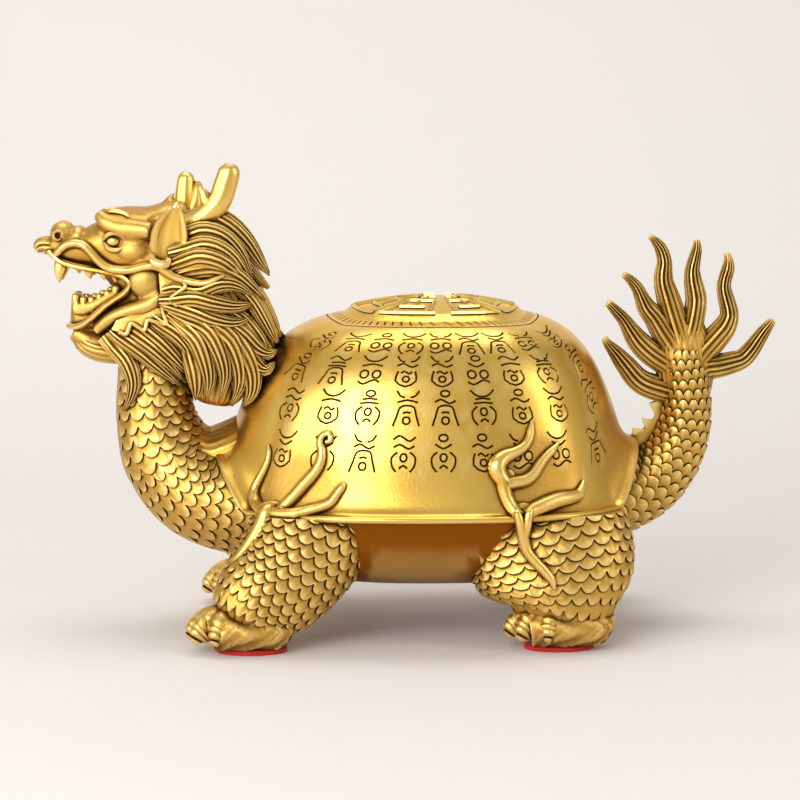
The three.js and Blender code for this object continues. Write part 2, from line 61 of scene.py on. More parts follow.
# Finish of each region, kept as a number on its faces: 0 matt and grained, 1 polished. Twigs
# stay bright also inside the grained fields round them, and below 0 is the belly's painted shade:
# a dark brown that stands for shadow and for a warm floor's reflection.
TWIG_FINISH = 3.0
POLISHED = 1.0
SATIN = 0.55
SCALY = 0.35
STRANDS = 0.15
GRAINED = 0.0
BELLY_SHADE = -1.0

workshop = bpy.data.collections.new("workshop")
bpy.context.scene.collection.children.link(workshop)


# Mesh helpers

def smooth_curve(points, t):
    """Uniform Catmull-Rom spline through rows of numbers, with its slope."""
    points = np.asarray(points, float)
    count = len(points)
    padded = np.vstack([2 * points[0] - points[1], points, 2 * points[-1] - points[-2]])
    place = np.clip(np.asarray(t, float), 0, 1) * (count - 1)
    first = np.minimum(place.astype(int), count - 2)
    s = (place - first)[..., None]
    a, b, c, d = (padded[first + k] for k in range(4))
    value = 0.5 * (2 * b + (c - a) * s + (2 * a - 5 * b + 4 * c - d) * s ** 2
                   + (3 * b - a - 3 * c + d) * s ** 3)
    slope = 0.5 * ((c - a) + 2 * (2 * a - 5 * b + 4 * c - d) * s
                   + 3 * (3 * b - a - 3 * c + d) * s ** 2)
    return value, slope


def unit(vectors):
    return vectors / (np.linalg.norm(vectors, axis=-1, keepdims=True) + 1e-12)


def signed_power(value, power):
    return np.sign(value) * np.abs(value) ** power


def turns(sides):
    """Angles of points spread evenly round a section."""
    return 2 * np.pi * np.arange(sides) / sides


def signed_volume(points, faces):
    """Six times the volume inside faces that all have the same number of corners."""
    total = 0.0
    for k in range(2, faces.shape[1]):
        a, b, c = points[faces[:, 0]], points[faces[:, k - 1]], points[faces[:, k]]
        total += float((a * np.cross(b, c)).sum())
    return total


def solid_from_rings(rings, finish):
    """A closed skin over rings, rows by sides by 3, with a fan over each end."""
    rings = np.asarray(rings, float)
    rows, sides = rings.shape[:2]
    i = np.arange(sides)
    j = (i + 1) % sides
    row = np.arange(rows - 1)[:, None] * sides
    quads = np.stack([row + i, row + j, row + j + sides, row + i + sides], -1).reshape(-1, 4)
    points = rings.reshape(-1, 3)
    if signed_volume(points - points.mean(0), quads) < 0:
        rings = rings[:, ::-1]
    last = (rows - 1) * sides
    fans = [[j, i, np.full(sides, rows * sides)], [last + i, last + j, np.full(sides, rows * sides + 1)]]
    faces = quads.tolist() + [face for fan in fans for face in np.stack(fan, -1).tolist()]
    points = np.vstack([rings.reshape(-1, 3), rings[0].mean(0), rings[-1].mean(0)])
    return new_part(points, faces, finish)


def new_part(points, faces, finish):
    """A mesh object in the workshop, whose faces carry their finish."""
    mesh = bpy.data.meshes.new("part")
    mesh.from_pydata(np.asarray(points).tolist(), [], faces)
    layer = mesh.attributes.new("finish", "FLOAT", "FACE")
    layer.data.foreach_set("value", np.full(len(mesh.polygons), finish))
    part = bpy.data.objects.new("part", mesh)
    workshop.objects.link(part)
    return part


def skin(stations, t, angle, lift, square=1.0, axis=ACROSS):
    """Points of an oval bar along a smooth curve, raised by lift along the oval's own normal."""
    value, slope = smooth_curve(stations, t)
    half = np.maximum(value[..., 3:5], THINNEST)
    tangent = unit(slope[..., :3])
    flat = unit(np.cross(tangent, axis))
    side = unit(np.cross(flat, tangent))
    along = signed_power(np.cos(angle), square)[..., None]
    across = signed_power(np.sin(angle), square)[..., None]
    point = value[..., :3] + flat * half[..., :1] * along + side * half[..., 1:2] * across
    normal = unit(flat * along / half[..., :1] + side * across / half[..., 1:2])
    return point + normal * lift[..., None]


def sweep(stations, sides=20, steps=20, finish=SATIN, lift=None, square=1.0, axis=ACROSS):
    """A bar of oval section. lift(t, angle) raises or lowers its skin in millimetres."""
    t, angle = np.broadcast_arrays(np.linspace(0, 1, steps + 1)[:, None], turns(sides)[None, :])
    raised = lift(t, angle) if lift else np.zeros(t.shape)
    return solid_from_rings(skin(stations, t, angle, raised, square, axis), finish)


def on_side(stations, side):
    return [[x, y * side, z, *rest] for x, y, z, *rest in stations]


def both(stations, **options):
    return [sweep(on_side(stations, side), **options) for side in (NEAR, FAR)]


def ball(x, y, z, radius, stretch=(1, 1, 1), finish=SATIN, rows=12, sides=18):
    """A closed ball, drawn out along each axis."""
    t = np.linspace(0.04, np.pi - 0.04, rows)[:, None]
    angle = turns(sides)[None, :]
    rings = np.stack([np.sin(t) * np.cos(angle), np.sin(t) * np.sin(angle),
                      np.cos(t) * np.ones_like(angle)], -1)
    return solid_from_rings(np.array([x, y, z]) + rings * radius * np.array(stretch), finish)


def ribbon(points, normals, half_width, depth):
    """A bar of diamond section that follows a surface, half above it and half below."""
    normals = unit(normals)
    tangent = unit(np.gradient(points, axis=0))
    side = unit(np.cross(normals, tangent))
    rings = np.stack([points + side * half_width, points + normals * depth,
                      points - side * half_width, points - normals * depth], 1)
    return solid_from_rings(rings, POLISHED)


def plate(outline, first, second, finish=SATIN):
    """A plate seen from the side as outline, whose faces lie at first(x, z) and second(x, z) across."""
    count = len(outline)
    points = np.array([[x, across(x, z), z] for across in (first, second) for x, z in outline])
    i = np.arange(count)
    j = (i + 1) % count
    walls = np.stack([i, j, count + j, count + i], -1)
    ends = np.stack([i[::-1], count + i])
    if signed_volume(points, walls) + signed_volume(points, ends) < 0:
        walls, ends = walls[:, ::-1], ends[:, ::-1]
    return new_part(points, walls.tolist() + ends.tolist(), finish)


def combined(base, others, operation="UNION"):
    """base joined with, or cut by, all the others at once. Only the result is kept."""
    group = bpy.data.collections.new("operands")
    bpy.context.scene.collection.children.link(group)
    for other in others:
        workshop.objects.unlink(other)
        group.objects.link(other)
    modifier = base.modifiers.new("join", "BOOLEAN")
    modifier.operation = operation
    modifier.solver = "MANIFOLD"
    modifier.operand_type = "COLLECTION"
    modifier.collection = group
    result = applied(base)
    for other in others:
        old = other.data
        bpy.data.objects.remove(other)
        bpy.data.meshes.remove(old)
    bpy.data.collections.remove(group)
    return result


def applied(part):
    """The part with its modifiers applied."""
    graph = bpy.context.evaluated_depsgraph_get()
    mesh = bpy.data.meshes.new_from_object(part.evaluated_get(graph))
    old = part.data
    part.modifiers.clear()
    part.data = mesh
    bpy.data.meshes.remove(old)
    return part


# The shell's shape, seen as shares of the way from its crown to its rim

CROWN_X = 11.5
FRONT_X = -62.5
REAR_X = 76.0
HALF_WIDTH = 51.0
TOP_Z = 109.6
SIDE_RIM_Z = 45.0
END_RIM_Z = 63.5
LEVEL_SHARE = 0.86
SQUARENESS = 2.5
BELLY_Z = 18.0
RIM_THICKNESS = 2.2
BEAD = RIM_THICKNESS / 2
MEDALLION_RELIEF = 1.2
MEDALLION_SHARE = 0.4
DOME_PROFILE = [(0, 1), (0.18, 0.985), (0.4, 0.926), (0.58, 0.85), (0.7, 0.735), (0.8, 0.55),
                (0.88, 0.3), (0.935, 0.08), (1, 0)]


def monotone_slopes(x, y):
    step = np.diff(y) / np.diff(x)
    slopes = np.concatenate([[0.0], (step[:-1] + step[1:]) / 2, [0.0]])
    slopes[1:-1][step[:-1] * step[1:] <= 0] = 0
    for i, rise in enumerate(step):
        reach = math.hypot(slopes[i], slopes[i + 1])
        if rise != 0 and reach > 3 * abs(rise):
            slopes[i] *= 3 * abs(rise) / reach
            slopes[i + 1] *= 3 * abs(rise) / reach
    return slopes


profile_x, profile_y = np.array(DOME_PROFILE).T
profile_slope = monotone_slopes(profile_x, profile_y)


def dome_share_height(share):
    share = np.clip(share, 0, 1)
    k = np.clip(np.searchsorted(profile_x, share, side="right") - 1, 0, len(profile_x) - 2)
    width = profile_x[k + 1] - profile_x[k]
    s = (share - profile_x[k]) / width
    return ((1 + 2 * s) * (1 - s) ** 2 * profile_y[k] + s * (1 - s) ** 2 * width * profile_slope[k]
            + s ** 2 * (3 - 2 * s) * profile_y[k + 1] + s ** 2 * (s - 1) * width * profile_slope[k + 1])


def rim_height(reach):
    """The rim stays level along the sides and turns up near the ends."""
    rise = (np.maximum(0, reach - LEVEL_SHARE) / (1 - LEVEL_SHARE)) ** 1.3
    return SIDE_RIM_Z + (END_RIM_Z - SIDE_RIM_Z) * rise


def lengthwise_reach(along):
    return np.where(along < 0, CROWN_X - FRONT_X, REAR_X - CROWN_X)


def dome_height(share, reach):
    rim = rim_height(np.clip(reach, 0, 1))
    return rim + (TOP_Z - rim) * dome_share_height(share)


def reach_at(along):
    """How far along the shell a place is, as a share of the way from the crown to that end."""
    return np.abs(along) / lengthwise_reach(along)


def rim_point(angle):
    along = signed_power(np.cos(angle), 2 / SQUARENESS)
    across = signed_power(np.sin(angle), 2 / SQUARENESS)
    return along * lengthwise_reach(along), across * HALF_WIDTH, rim_height(np.abs(along))


def plan_point(rim_x, rim_y, share, height):
    """A place at a share of the way from the crown to a point of the rim, and its height."""
    return np.stack([CROWN_X + rim_x * share, rim_y * share, height], -1)


def shell_side(x, z):
    """How far out from the middle plane the dome is at a place seen from the side."""
    x, z = np.broadcast_arrays(np.asarray(x, float), np.asarray(z, float))
    reach = reach_at(x - CROWN_X)
    inside, outside = np.zeros(x.shape), np.full(x.shape, HALF_WIDTH)
    for _ in range(26):
        y = (inside + outside) / 2
        share = (reach ** SQUARENESS + (y / HALF_WIDTH) ** SQUARENESS) ** (1 / SQUARENESS)
        high = (share < 1) & (dome_height(share, reach / share) > z)
        inside, outside = np.where(high, y, inside), np.where(high, outside, y)
    return outside


def on_dome(x, share, side):
    """The dome's point at a place along the figure and a share of the way out."""
    reach = reach_at(x - CROWN_X)
    left = np.maximum(share ** SQUARENESS - reach ** SQUARENESS, 1e-4)
    y = HALF_WIDTH * left ** (1 / SQUARENESS)
    return np.stack([x, side * y, dome_height(share, reach / share)], -1)


def dome_normal(x, share, side):
    step = 0.05
    along = on_dome(x + step, share, side) - on_dome(x - step, share, side)
    outward = on_dome(x, share + 0.002, side) - on_dome(x, share - 0.002, side)
    normal = unit(np.cross(along, outward))
    return normal * np.sign(normal[..., 2:3] + 1e-9)


# The trunk: dome, beaded rim and belly

# The dome's rings, as shares of the way out, close together at the medallion's edge
DOME_SHARES = [*np.linspace(0.02, 0.38, 9), 0.4, 0.425, *np.linspace(0.46, 0.7, 9),
               *np.linspace(0.725, 0.995, 19)]
# The belly's rings: share of the way out, and share of the way up from its lowest point to the rim
BELLY_RINGS = [(0.965, 1), (0.925, 0.97), (0.9, 0.86), (0.885, 0.7), (0.865, 0.55), (0.83, 0.38),
               (0.78, 0.25), (0.7, 0.14), (0.6, 0.07), (0.45, 0.02), (0.2, 0)]
TRUNK_COLUMNS = 224


def trunk():
    many = np.linspace(0, 2 * np.pi, 4001)
    x, y, _ = rim_point(many)
    length = np.concatenate([[0], np.cumsum(np.hypot(np.diff(x), np.diff(y)))])
    x, y, rim_z = rim_point(np.interp(np.arange(TRUNK_COLUMNS) / TRUNK_COLUMNS * length[-1], length, many))
    rings = []
    for share in DOME_SHARES:
        raised = MEDALLION_RELIEF if share <= MEDALLION_SHARE else 0
        rings.append(plan_point(x, y, share, rim_z + (TOP_Z - rim_z) * dome_share_height(share) + raised))
    for turn in np.linspace(0.2, 1, 6) * np.pi:
        out = 1 + BEAD * math.sin(turn) / HALF_WIDTH
        rings.append(plan_point(x, y, out, rim_z - BEAD * (1 - math.cos(turn))))
    for share, depth in BELLY_RINGS:
        rings.append(plan_point(x, y, share, BELLY_Z + (rim_z - RIM_THICKNESS - BELLY_Z) * depth))
    body = solid_from_rings(rings, POLISHED)
    belly_top = SIDE_RIM_Z - RIM_THICKNESS - 0.5
    # Faces under the rim are marked for the belly's painted shade and painted reflection, a dark brown in the
    # material.
    finish = [BELLY_SHADE if face.center.z < belly_top else POLISHED for face in body.data.polygons]
    body.data.attributes["finish"].data.foreach_set("value", finish)
    return body


def plan_ribbon(angles, shares, half, depth, raised=0):
    """A fine bar on the dome, through places given by their angle and share of the way out."""
    rim_x, rim_y, _ = rim_point(angles)
    points = plan_point(rim_x, rim_y, shares, dome_height(shares, reach_at(rim_x)) + raised)
    return ribbon(points, np.tile(UPRIGHT, (len(points), 1)), half, depth)


SECTORS = 8
RIB_HALF = 0.95
SPOKE_HALF = 0.6
RIB_DEPTH = 0.8
HATCHES = 72
BAND_DEPTH = 0.45


def medallion():
    """Raised fretwork on the crown, laid out in like sectors."""
    ribs = []
    wide = np.pi / SECTORS
    for k in range(SECTORS):
        middle = 2 * np.pi * (k + 0.5) / SECTORS
        for share, reach in [(0.11, 0.6), (0.2, 0.72), (0.3, 0.5), (0.385, 0.86)]:
            turn = np.linspace(-reach, reach, 7) * wide + middle
            ribs.append(plan_ribbon(turn, np.full(7, share), RIB_HALF, RIB_DEPTH, MEDALLION_RELIEF))
        for offset, start, end in [(0, 0.11, 0.3), (0.72, 0.2, 0.385), (-0.72, 0.2, 0.385)]:
            ribs.append(plan_ribbon(np.full(4, middle + offset * wide), np.linspace(start, end, 4),
                                    SPOKE_HALF, RIB_DEPTH, MEDALLION_RELIEF))
    return ribs


def dome_band_cuts():
    """Fine hatching round the medallion and the line that bounds it, in four arcs."""
    cuts = [plan_ribbon(np.full(3, 2 * np.pi * k / HATCHES) + np.array([0, 0.02, 0.04]),
                        np.linspace(0.445, 0.485, 3), 0.3, BAND_DEPTH) for k in range(HATCHES)]
    overlap = 0.02
    for start in np.arange(4) * np.pi / 2:
        cuts.append(plan_ribbon(np.linspace(start - overlap, start + np.pi / 2 + overlap, 22),
                                np.full(22, 0.505), 0.35, BAND_DEPTH))
    return cuts


# Shallow strokes in rows, where the shell carries an inscription. They are no letters.

STROKE_ROWS = [
    # share of the way out, first and last place along the figure, count, half height
    (0.615, -27.0, 46.5, 9, 4.4),
    (0.725, -46.0, 54.5, 10, 5.4),
    (0.81, -50.0, 59.0, 10, 5.9),
    (0.878, -40.5, 60.0, 9, 5.9),
]
STROKE_HALF = 0.36
STROKE_DEPTH = 0.5
SIGN_HALF_WIDTH = 4.4
SIGN_SEED = 7


def loop(x, z, half_x, half_z):
    """A small ring, as two arcs."""
    turn = np.linspace(-0.5, 0.5, 5) * np.pi
    return [[(x + way * half_x * math.cos(a), z + half_z * math.sin(a)) for a in turn] for way in (-1, 1)]


def mirrored(stroke):
    return [stroke, [(-x, z) for x, z in stroke]]


# Parts of a made-up sign, in units of its half size: what stands on top, in the middle and below
SIGN_TOPS = [
    [[(-0.85, 0.98), (-0.5, 0.66), (0, 0.54), (0.5, 0.66), (0.85, 0.98)]],
    [[(-0.8, 0.66), (-0.4, 0.9), (0, 0.74), (0.4, 0.58), (0.8, 0.82)]],
    loop(0, 0.76, 0.32, 0.2),
    mirrored([(-0.8, 0.95), (-0.55, 0.62), (-0.2, 0.52)]),
]
SIGN_MIDDLES = [
    [[(-0.75, 0.22), (0, 0.36), (0.75, 0.22)]],
    [[(-0.6, 0.42), (0, 0.16), (0.6, 0.42)]],
    [[(-0.55, 0.38), (0, 0.44), (0.55, 0.38)], [(-0.7, 0.14), (0, 0.2), (0.7, 0.14)]],
    [[(-0.75, 0.24), (-0.35, 0.4), (0, 0.28), (0.35, 0.16), (0.75, 0.32)]],
]
SIGN_FEET = [
    [[(-0.95, -0.98), (-0.68, -0.45), (-0.5, -0.05), (0, 0.05), (0.5, -0.05), (0.68, -0.45), (0.95, -0.98)],
     [(-0.28, -0.35), (0, -0.3), (0.28, -0.35)], *loop(0, -0.72, 0.26, 0.18)],
    [*loop(-0.45, -0.3, 0.3, 0.24), *loop(0.45, -0.3, 0.3, 0.24),
     [(-0.8, -0.72), (-0.4, -0.86), (0, -0.74), (0.4, -0.62), (0.8, -0.76)]],
    [[(-0.6, -0.1), (-0.75, -0.65), (0, -0.95), (0.75, -0.65), (0.6, -0.1)],
     [(-0.4, -0.22), (-0.15, -0.1), (0.15, -0.26), (0.4, -0.14)], *loop(0, -0.56, 0.24, 0.16)],
    [*mirrored([(-0.45, -0.02), (-0.85, -0.3), (-0.8, -0.7), (-0.5, -0.95)]), *loop(0, -0.3, 0.24, 0.2),
     [(-0.3, -0.8), (0, -0.66), (0.3, -0.8)]],
]


def inscription_cuts():
    """The signs' strokes. Each sign stands on a line that runs down the dome from its crown."""
    cuts = []
    rng = random.Random(SIGN_SEED)
    for side, sets in ((NEAR, (SIGN_TOPS, SIGN_MIDDLES, SIGN_FEET)), (FAR, (SIGN_TOPS, SIGN_MIDDLES))):
        for share, first_x, last_x, count, half_height in STROKE_ROWS:
            for x in np.linspace(first_x, last_x, count):
                def placed(across, out):
                    return on_dome(CROWN_X + (x - CROWN_X) * out / share + across, out, side)

                step = 0.004
                share_per_mm = 2 * step / np.linalg.norm(placed(0, share + step) - placed(0, share - step))
                x_per_mm = 2 * step / np.linalg.norm(placed(step, share) - placed(-step, share))
                for stroke in [stroke for marks in sets for stroke in rng.choice(marks)]:
                    line, _ = smooth_curve(stroke, np.linspace(0, 1, 2 * len(stroke) - 1))
                    out = share - line[:, 1] * half_height * share_per_mm
                    along = (CROWN_X + (x - CROWN_X) * out / share
                             + line[:, 0] * SIGN_HALF_WIDTH * x_per_mm)
                    cuts.append(ribbon(on_dome(along, out, side), dome_normal(along, out, side),
                                       STROKE_HALF, STROKE_DEPTH))
    return cuts


# Scales: rows that overlap like tiles, each row's free edge standing proud of the next

SCALE_RELIEF = [(0.0, 0.0), (0.35, 0.5), (0.75, 0.85), (0.93, 1.0), (1.0, 0.8)]
SCALE_DROP = 0.62
COLUMNS_PER_SCALE = 6
FAN_GROOVE = 0.13


def scaly_sweep(stations, around, pitch, height, bare=None):
    """A bar covered in scales whose free edges point to its last station."""
    table = np.linspace(0, 1, 400)
    line, _ = smooth_curve(stations, table)
    arc = np.concatenate([[0], np.cumsum(np.linalg.norm(np.diff(line[:, :3], axis=0), axis=1))])
    rows = int(arc[-1] / pitch - SCALE_DROP - 1.05)
    column = np.arange(around * COLUMNS_PER_SCALE)
    level = np.zeros(len(column))

    def across(row):
        return 2 * ((column / COLUMNS_PER_SCALE + 0.5 * (row % 2)) % 1.0) - 1

    def edge(row):
        bulge = (1 - np.abs(across(row)) ** 2.2) ** 0.7
        return (row + 1 + SCALE_DROP * bulge) * pitch

    rings = [(level, level)]
    for row in range(rows):
        above, below = edge(row - 1), edge(row)
        crown = 1 - 0.3 * across(row) ** 2 - FAN_GROOVE * (column % 2)
        rings += [(above + (below - above) * place, height * share * crown) for place, share in SCALE_RELIEF]
    rings += [(edge(rows - 1) + 0.02, level), (level + arc[-1], level)]
    arcs, heights = np.array(rings).swapaxes(0, 1)
    t = np.interp(arcs, arc, table)
    angles = np.broadcast_to(turns(len(column)), t.shape)
    if bare:
        heights = heights * (1 - bare(t, angles))
    return solid_from_rings(skin(stations, t, angles, heights + 0.02), SCALY)


def neck():
    upper = [[-82, 0, 97, 12.5, 12.5], [-83, 0, 84, 12.2, 12.2], [-83, 0, 71, 12.9, 13.4],
             [-78.5, 0, 58, 15.6, 17.2], [-70.5, 0, 50, 14.5, 18]]
    lower = [[-83, 0, 71, 10.5, 11], [-78.5, 0, 58, 15.3, 16.8], [-68.5, 0, 47.5, 17.5, 22],
             [-54, 0, 44, 19.5, 27], [-38, 0, 44, 21, 30]]
    web = [[-77, 0, 64, 9.5, 12], [-71, 0, 60.5, 8.8, 13.5], [-65, 0, 58.8, 8.4, 14.5],
           [-59, 0, 60.5, 8.4, 15], [-52, 0, 64, 8, 15]]

    def throat(t, angle):
        """1 along a bare strip down the front, 0 elsewhere."""
        front = (1 - np.cos(angle)) / 2
        return np.clip((front - 0.93) / 0.04, 0, 1)

    def folds(t, angle):
        return 0.4 * np.abs(np.sin(11 * angle)) - 0.3

    return [scaly_sweep(upper, around=16, pitch=3.8, height=0.85, bare=throat),
            scaly_sweep(lower, around=24, pitch=3.8, height=0.85, bare=throat),
            sweep(web, sides=72, steps=10, finish=SCALY, lift=folds)]


# Legs, bowed outwards, on feet with clawed toes

FRONT_SHANK = [[-28, 30, 44, 18.5, 14], [-33.4, 34, 34, 19, 14], [-41.2, 37, 23.5, 17.4, 12.5],
               [-49, 38.5, 16.4, 14.8, 11.4], [-52.5, 39, 12, 12, 10.2], [-54, 39, 8, 8, 8]]
HIND_SHANK = [[41, 30, 44, 23, 14], [44.5, 34, 33, 26.5, 14.5], [47, 37, 21.5, 24.5, 13.5],
              [47.6, 38.5, 14, 18, 11.5], [46.8, 39, 9.5, 13, 9.5], [46.8, 39, 7, 9, 8]]
FRONT_FAR_SHIFT = 3.0
HIND_FAR_SHIFT = 9.0
FRONT_FOOT_X = -55.4
HIND_FOOT_X = 46.6


def shifted(stations, shift):
    return [[x + shift, *rest] for x, *rest in stations]


FOOT_Y = 39.0
FOOT_REACH = 15.6
FRONT_TOES = (-42, -8, 28, 62)
HIND_TOES = (-38, 0, 38, 76)
# A toe from its root: share of the foot's reach, height over the sole, half width, half height
TOE = [(0.25, 8.8, 3.7, 4.8), (0.52, 8.2, 3.8, 5), (0.72, 6.8, 3.7, 4.9), (0.87, 5, 3.1, 4),
       (0.96, 3.4, 1.9, 2.8), (1.01, 2.1, 0.8, 1.1)]
# Grooves across a toe, the last one round the root of its claw: place, width, depth
KNUCKLES = [(0.36, 0.03, 0.4), (0.48, 0.035, 0.6), (0.62, 0.03, 0.4), (0.8, 0.03, 0.9)]


def foot(centre_x, directions, side):
    """A low foot: a rocky heel and toes fanned round the ankle, each ending in a claw."""
    back = centre_x + FOOT_REACH
    heel = [[x, FOOT_Y, SOLE_Z + height, half_length, half_width] for x, height, half_length, half_width in (
        (back + 1.6, 4.8, 3.4, 5.5), (back + 0.4, 5.2, 5.4, 7.6), (back - 4, 5.6, 7.4, 10.2),
        (centre_x + 2, 5.6, 7.4, 11.4), (centre_x - 4.5, 5.8, 7.4, 11.2), (centre_x - 9, 5, 6.4, 8.6))]
    parts = [sweep(on_side(heel, side), sides=44, steps=34, finish=GRAINED, lift=wrinkles)]
    for direction in directions:
        ahead, outward = -math.cos(math.radians(direction)), math.sin(math.radians(direction))
        line = [[centre_x + ahead * FOOT_REACH * share, FOOT_Y + outward * 0.66 * FOOT_REACH * share,
                 SOLE_Z + height, width, tall] for share, height, width, tall in TOE]
        parts.append(sweep(on_side(line, side), sides=18, steps=26, lift=knuckles, axis=UPRIGHT))
    return parts


def knuckles(t, angle):
    return sum(-depth * np.exp(-((t - place) / width) ** 2) for place, width, depth in KNUCKLES)


def wrinkles(t, angle):
    rough = np.abs(np.sin(13 * t + 2 * np.sin(3 * angle))) + 0.8 * np.abs(np.sin(29 * t - 7 * angle))
    return 0.5 - 0.75 * rough * np.sin(np.pi * t) ** 0.4


def above_rim():
    """All the space over the shell's rim, also beside it."""
    x, y, rim_z = rim_point(turns(120))
    sunk = rim_z - BEAD
    sky = 150 + 0 * sunk
    return solid_from_rings([plan_point(x, y, share, height) for share, height in (
        (0.02, sunk), (1.0, sunk), (1.5, sunk), (1.5, sky), (0.02, sky))], SATIN)


def legs():
    parts = []
    shanks = []
    for side, shift in ((NEAR, 0), (FAR, 1)):
        front = shifted(FRONT_SHANK, FRONT_FAR_SHIFT * shift)
        hind = shifted(HIND_SHANK, HIND_FAR_SHIFT * shift)
        shanks.append(scaly_sweep(on_side(front, side), around=22, pitch=3.1, height=0.95))
        shanks.append(scaly_sweep(on_side(hind, side), around=24, pitch=3.0, height=0.95))
        parts += foot(FRONT_FOOT_X + FRONT_FAR_SHIFT * shift, FRONT_TOES, side)
        parts += foot(HIND_FOOT_X + HIND_FAR_SHIFT * shift, HIND_TOES, side)
    shank = combined(combined(shanks[0], shanks[1:]), [above_rim()], "DIFFERENCE")
    return [shank, *parts]


# Raised branches on the shell's sides, one above each leg

def twig(points, side):
    """A raised twig lying on the dome, from places seen from the side: [x, z, half width]."""
    t = np.linspace(0, 1, 4 * (len(points) - 1) + 1)
    line, _ = smooth_curve(np.array(points, float), t)
    half = 1.45 * line[:, 2] + 0.1
    y = shell_side(line[:, 0], line[:, 1]) + 0.35 * half
    stations = np.stack([line[:, 0], side * y, line[:, 1], half, 0.8 * half + 0.4], -1)
    return sweep(stations, sides=14, steps=len(t) - 1, finish=TWIG_FINISH)


# Twigs on the shell, from their fork to their tip: [x, z, half width] as seen from the side
FRONT_TWIGS = [
    [[-45.7, 44.9, 1.4], [-48.9, 45.8, 1.4], [-50.2, 48.1, 1.3], [-50.2, 50.4, 1.1], [-49.2, 52.7, 1],
     [-47.9, 55.2, 0.9], [-46.6, 57.8, 0.8], [-45.6, 60.4, 0.7], [-45.3, 62.9, 0.6], [-45.6, 65, 0.3]],
    [[-41.9, 45, 1.4], [-39.4, 48, 1.4], [-37.1, 50.4, 1.3], [-34.6, 53.4, 1.3], [-32.3, 56, 1.2],
     [-30.1, 58.9, 1.1], [-28.8, 61.7, 1], [-28.5, 64.9, 0.9], [-29.1, 67.3, 0.8], [-28.1, 69.5, 0.7],
     [-26.2, 69.9, 0.6], [-25.9, 68, 0.6], [-27.2, 67.4, 0.4]],
    [[-46, 44.8, 1.5], [-42.5, 44.6, 1.5], [-39.4, 44.7, 1.4], [-35.6, 45.4, 1.4], [-32.5, 46.3, 1.3],
     [-28.7, 47.5, 1.1], [-25.8, 49, 1], [-23.9, 51.5, 0.9], [-22.3, 53.7, 0.8], [-21.4, 54.9, 0.3]],
]
REAR_TWIGS = [
    [[29.2, 55.2, 1.5], [27.3, 57.7, 1.8], [26.7, 60.5, 2], [29, 63, 1.6], [32.5, 64.4, 1.2],
     [35.5, 66.1, 1], [37.2, 68.5, 0.9], [37.9, 71, 0.8], [38.3, 74, 0.3]],
    [[29.6, 54.6, 1.5], [32.4, 55.1, 1.4], [35.6, 55.6, 1.3], [38.3, 57.3, 1.2], [40.3, 60, 1.1],
     [42.7, 62.7, 0.9], [44.7, 64.4, 0.8], [46.8, 66.4, 0.3]],
    [[35.5, 44.9, 1.4], [37.6, 46.2, 1.6], [40.3, 47.2, 1.7], [43.6, 48.3, 1.7], [47, 49.1, 1.6],
     [50.5, 49.4, 1.4], [53.3, 50, 1.2], [54.7, 52, 0.9], [55.2, 53.9, 0.3]],
    [[28.3, 56.2, 1.5], [29, 52.7, 1.5], [30, 49.6, 1.4], [31.5, 47, 1.4], [33, 44.9, 1.4]],
]
# Webbed forks where the twigs part: [x, z, radius, stretch]
FORKS = [[-44.4, 45.8, 4, (1.25, 0.4, 0.62)], [30.2, 55.6, 3.2, (0.85, 0.4, 1.2)],
         [34.6, 46.2, 3.4, (1.3, 0.45, 0.8)]]
# Their stems on the legs: [x, y, z, half width, half depth]
FRONT_STEM = [[-44.5, 37.5, 46, 2.3, 2], [-46, 39.6, 45, 2.7, 2.3], [-47, 40.4, 42.5, 2.6, 2.4],
              [-48.8, 41, 39.3, 2.4, 2.4], [-50.8, 41.2, 36.3, 2.2, 2.4], [-52.8, 41.2, 33.7, 1.9, 2.4],
              [-55, 40.8, 31.3, 1.5, 2.2], [-57.4, 39.8, 29.2, 0.8, 1.5]]
REAR_STEMS = [
    [[32, 48.8, 46.5, 1.5, 1.8], [32.8, 49.8, 45.3, 1.6, 1.8], [33.7, 50, 42.4, 1.7, 1.8],
     [34.4, 49.4, 39, 1.9, 1.8], [35.2, 48.8, 35.8, 1.9, 1.8], [36.4, 48.8, 33, 1.7, 1.8],
     [38.6, 49.4, 30.3, 1.7, 1.8], [41.6, 50, 27.2, 1.7, 1.8], [43.7, 50.2, 24.5, 1.5, 1.8],
     [44.6, 50, 21.6, 0.7, 1.2]],
    [[37, 48.8, 46.6, 1.4, 1.8], [36.3, 49.8, 45.2, 1.5, 1.8], [35.8, 50, 42, 1.5, 1.8],
     [35.3, 49.2, 38.5, 1.3, 1.6]],
]


def branches():
    parts = []
    for side, shift in ((NEAR, 0), (FAR, 1)):
        parts += [twig(points, side) for points in FRONT_TWIGS + REAR_TWIGS]
        for x, z, radius, stretch in FORKS:
            parts.append(ball(x, side * (shell_side(x, z) - 0.3), z, radius, stretch, TWIG_FINISH))
        for stem, far_shift in ((FRONT_STEM, FRONT_FAR_SHIFT), (REAR_STEMS[0], HIND_FAR_SHIFT),
                                (REAR_STEMS[1], HIND_FAR_SHIFT)):
            moved = [[x + shift * far_shift * min(1, i / 4), *rest] for i, (x, *rest) in enumerate(stem)]
            parts.append(sweep(on_side(moved, side), sides=14, steps=6 * len(stem), finish=TWIG_FINISH))
    return parts


# The head

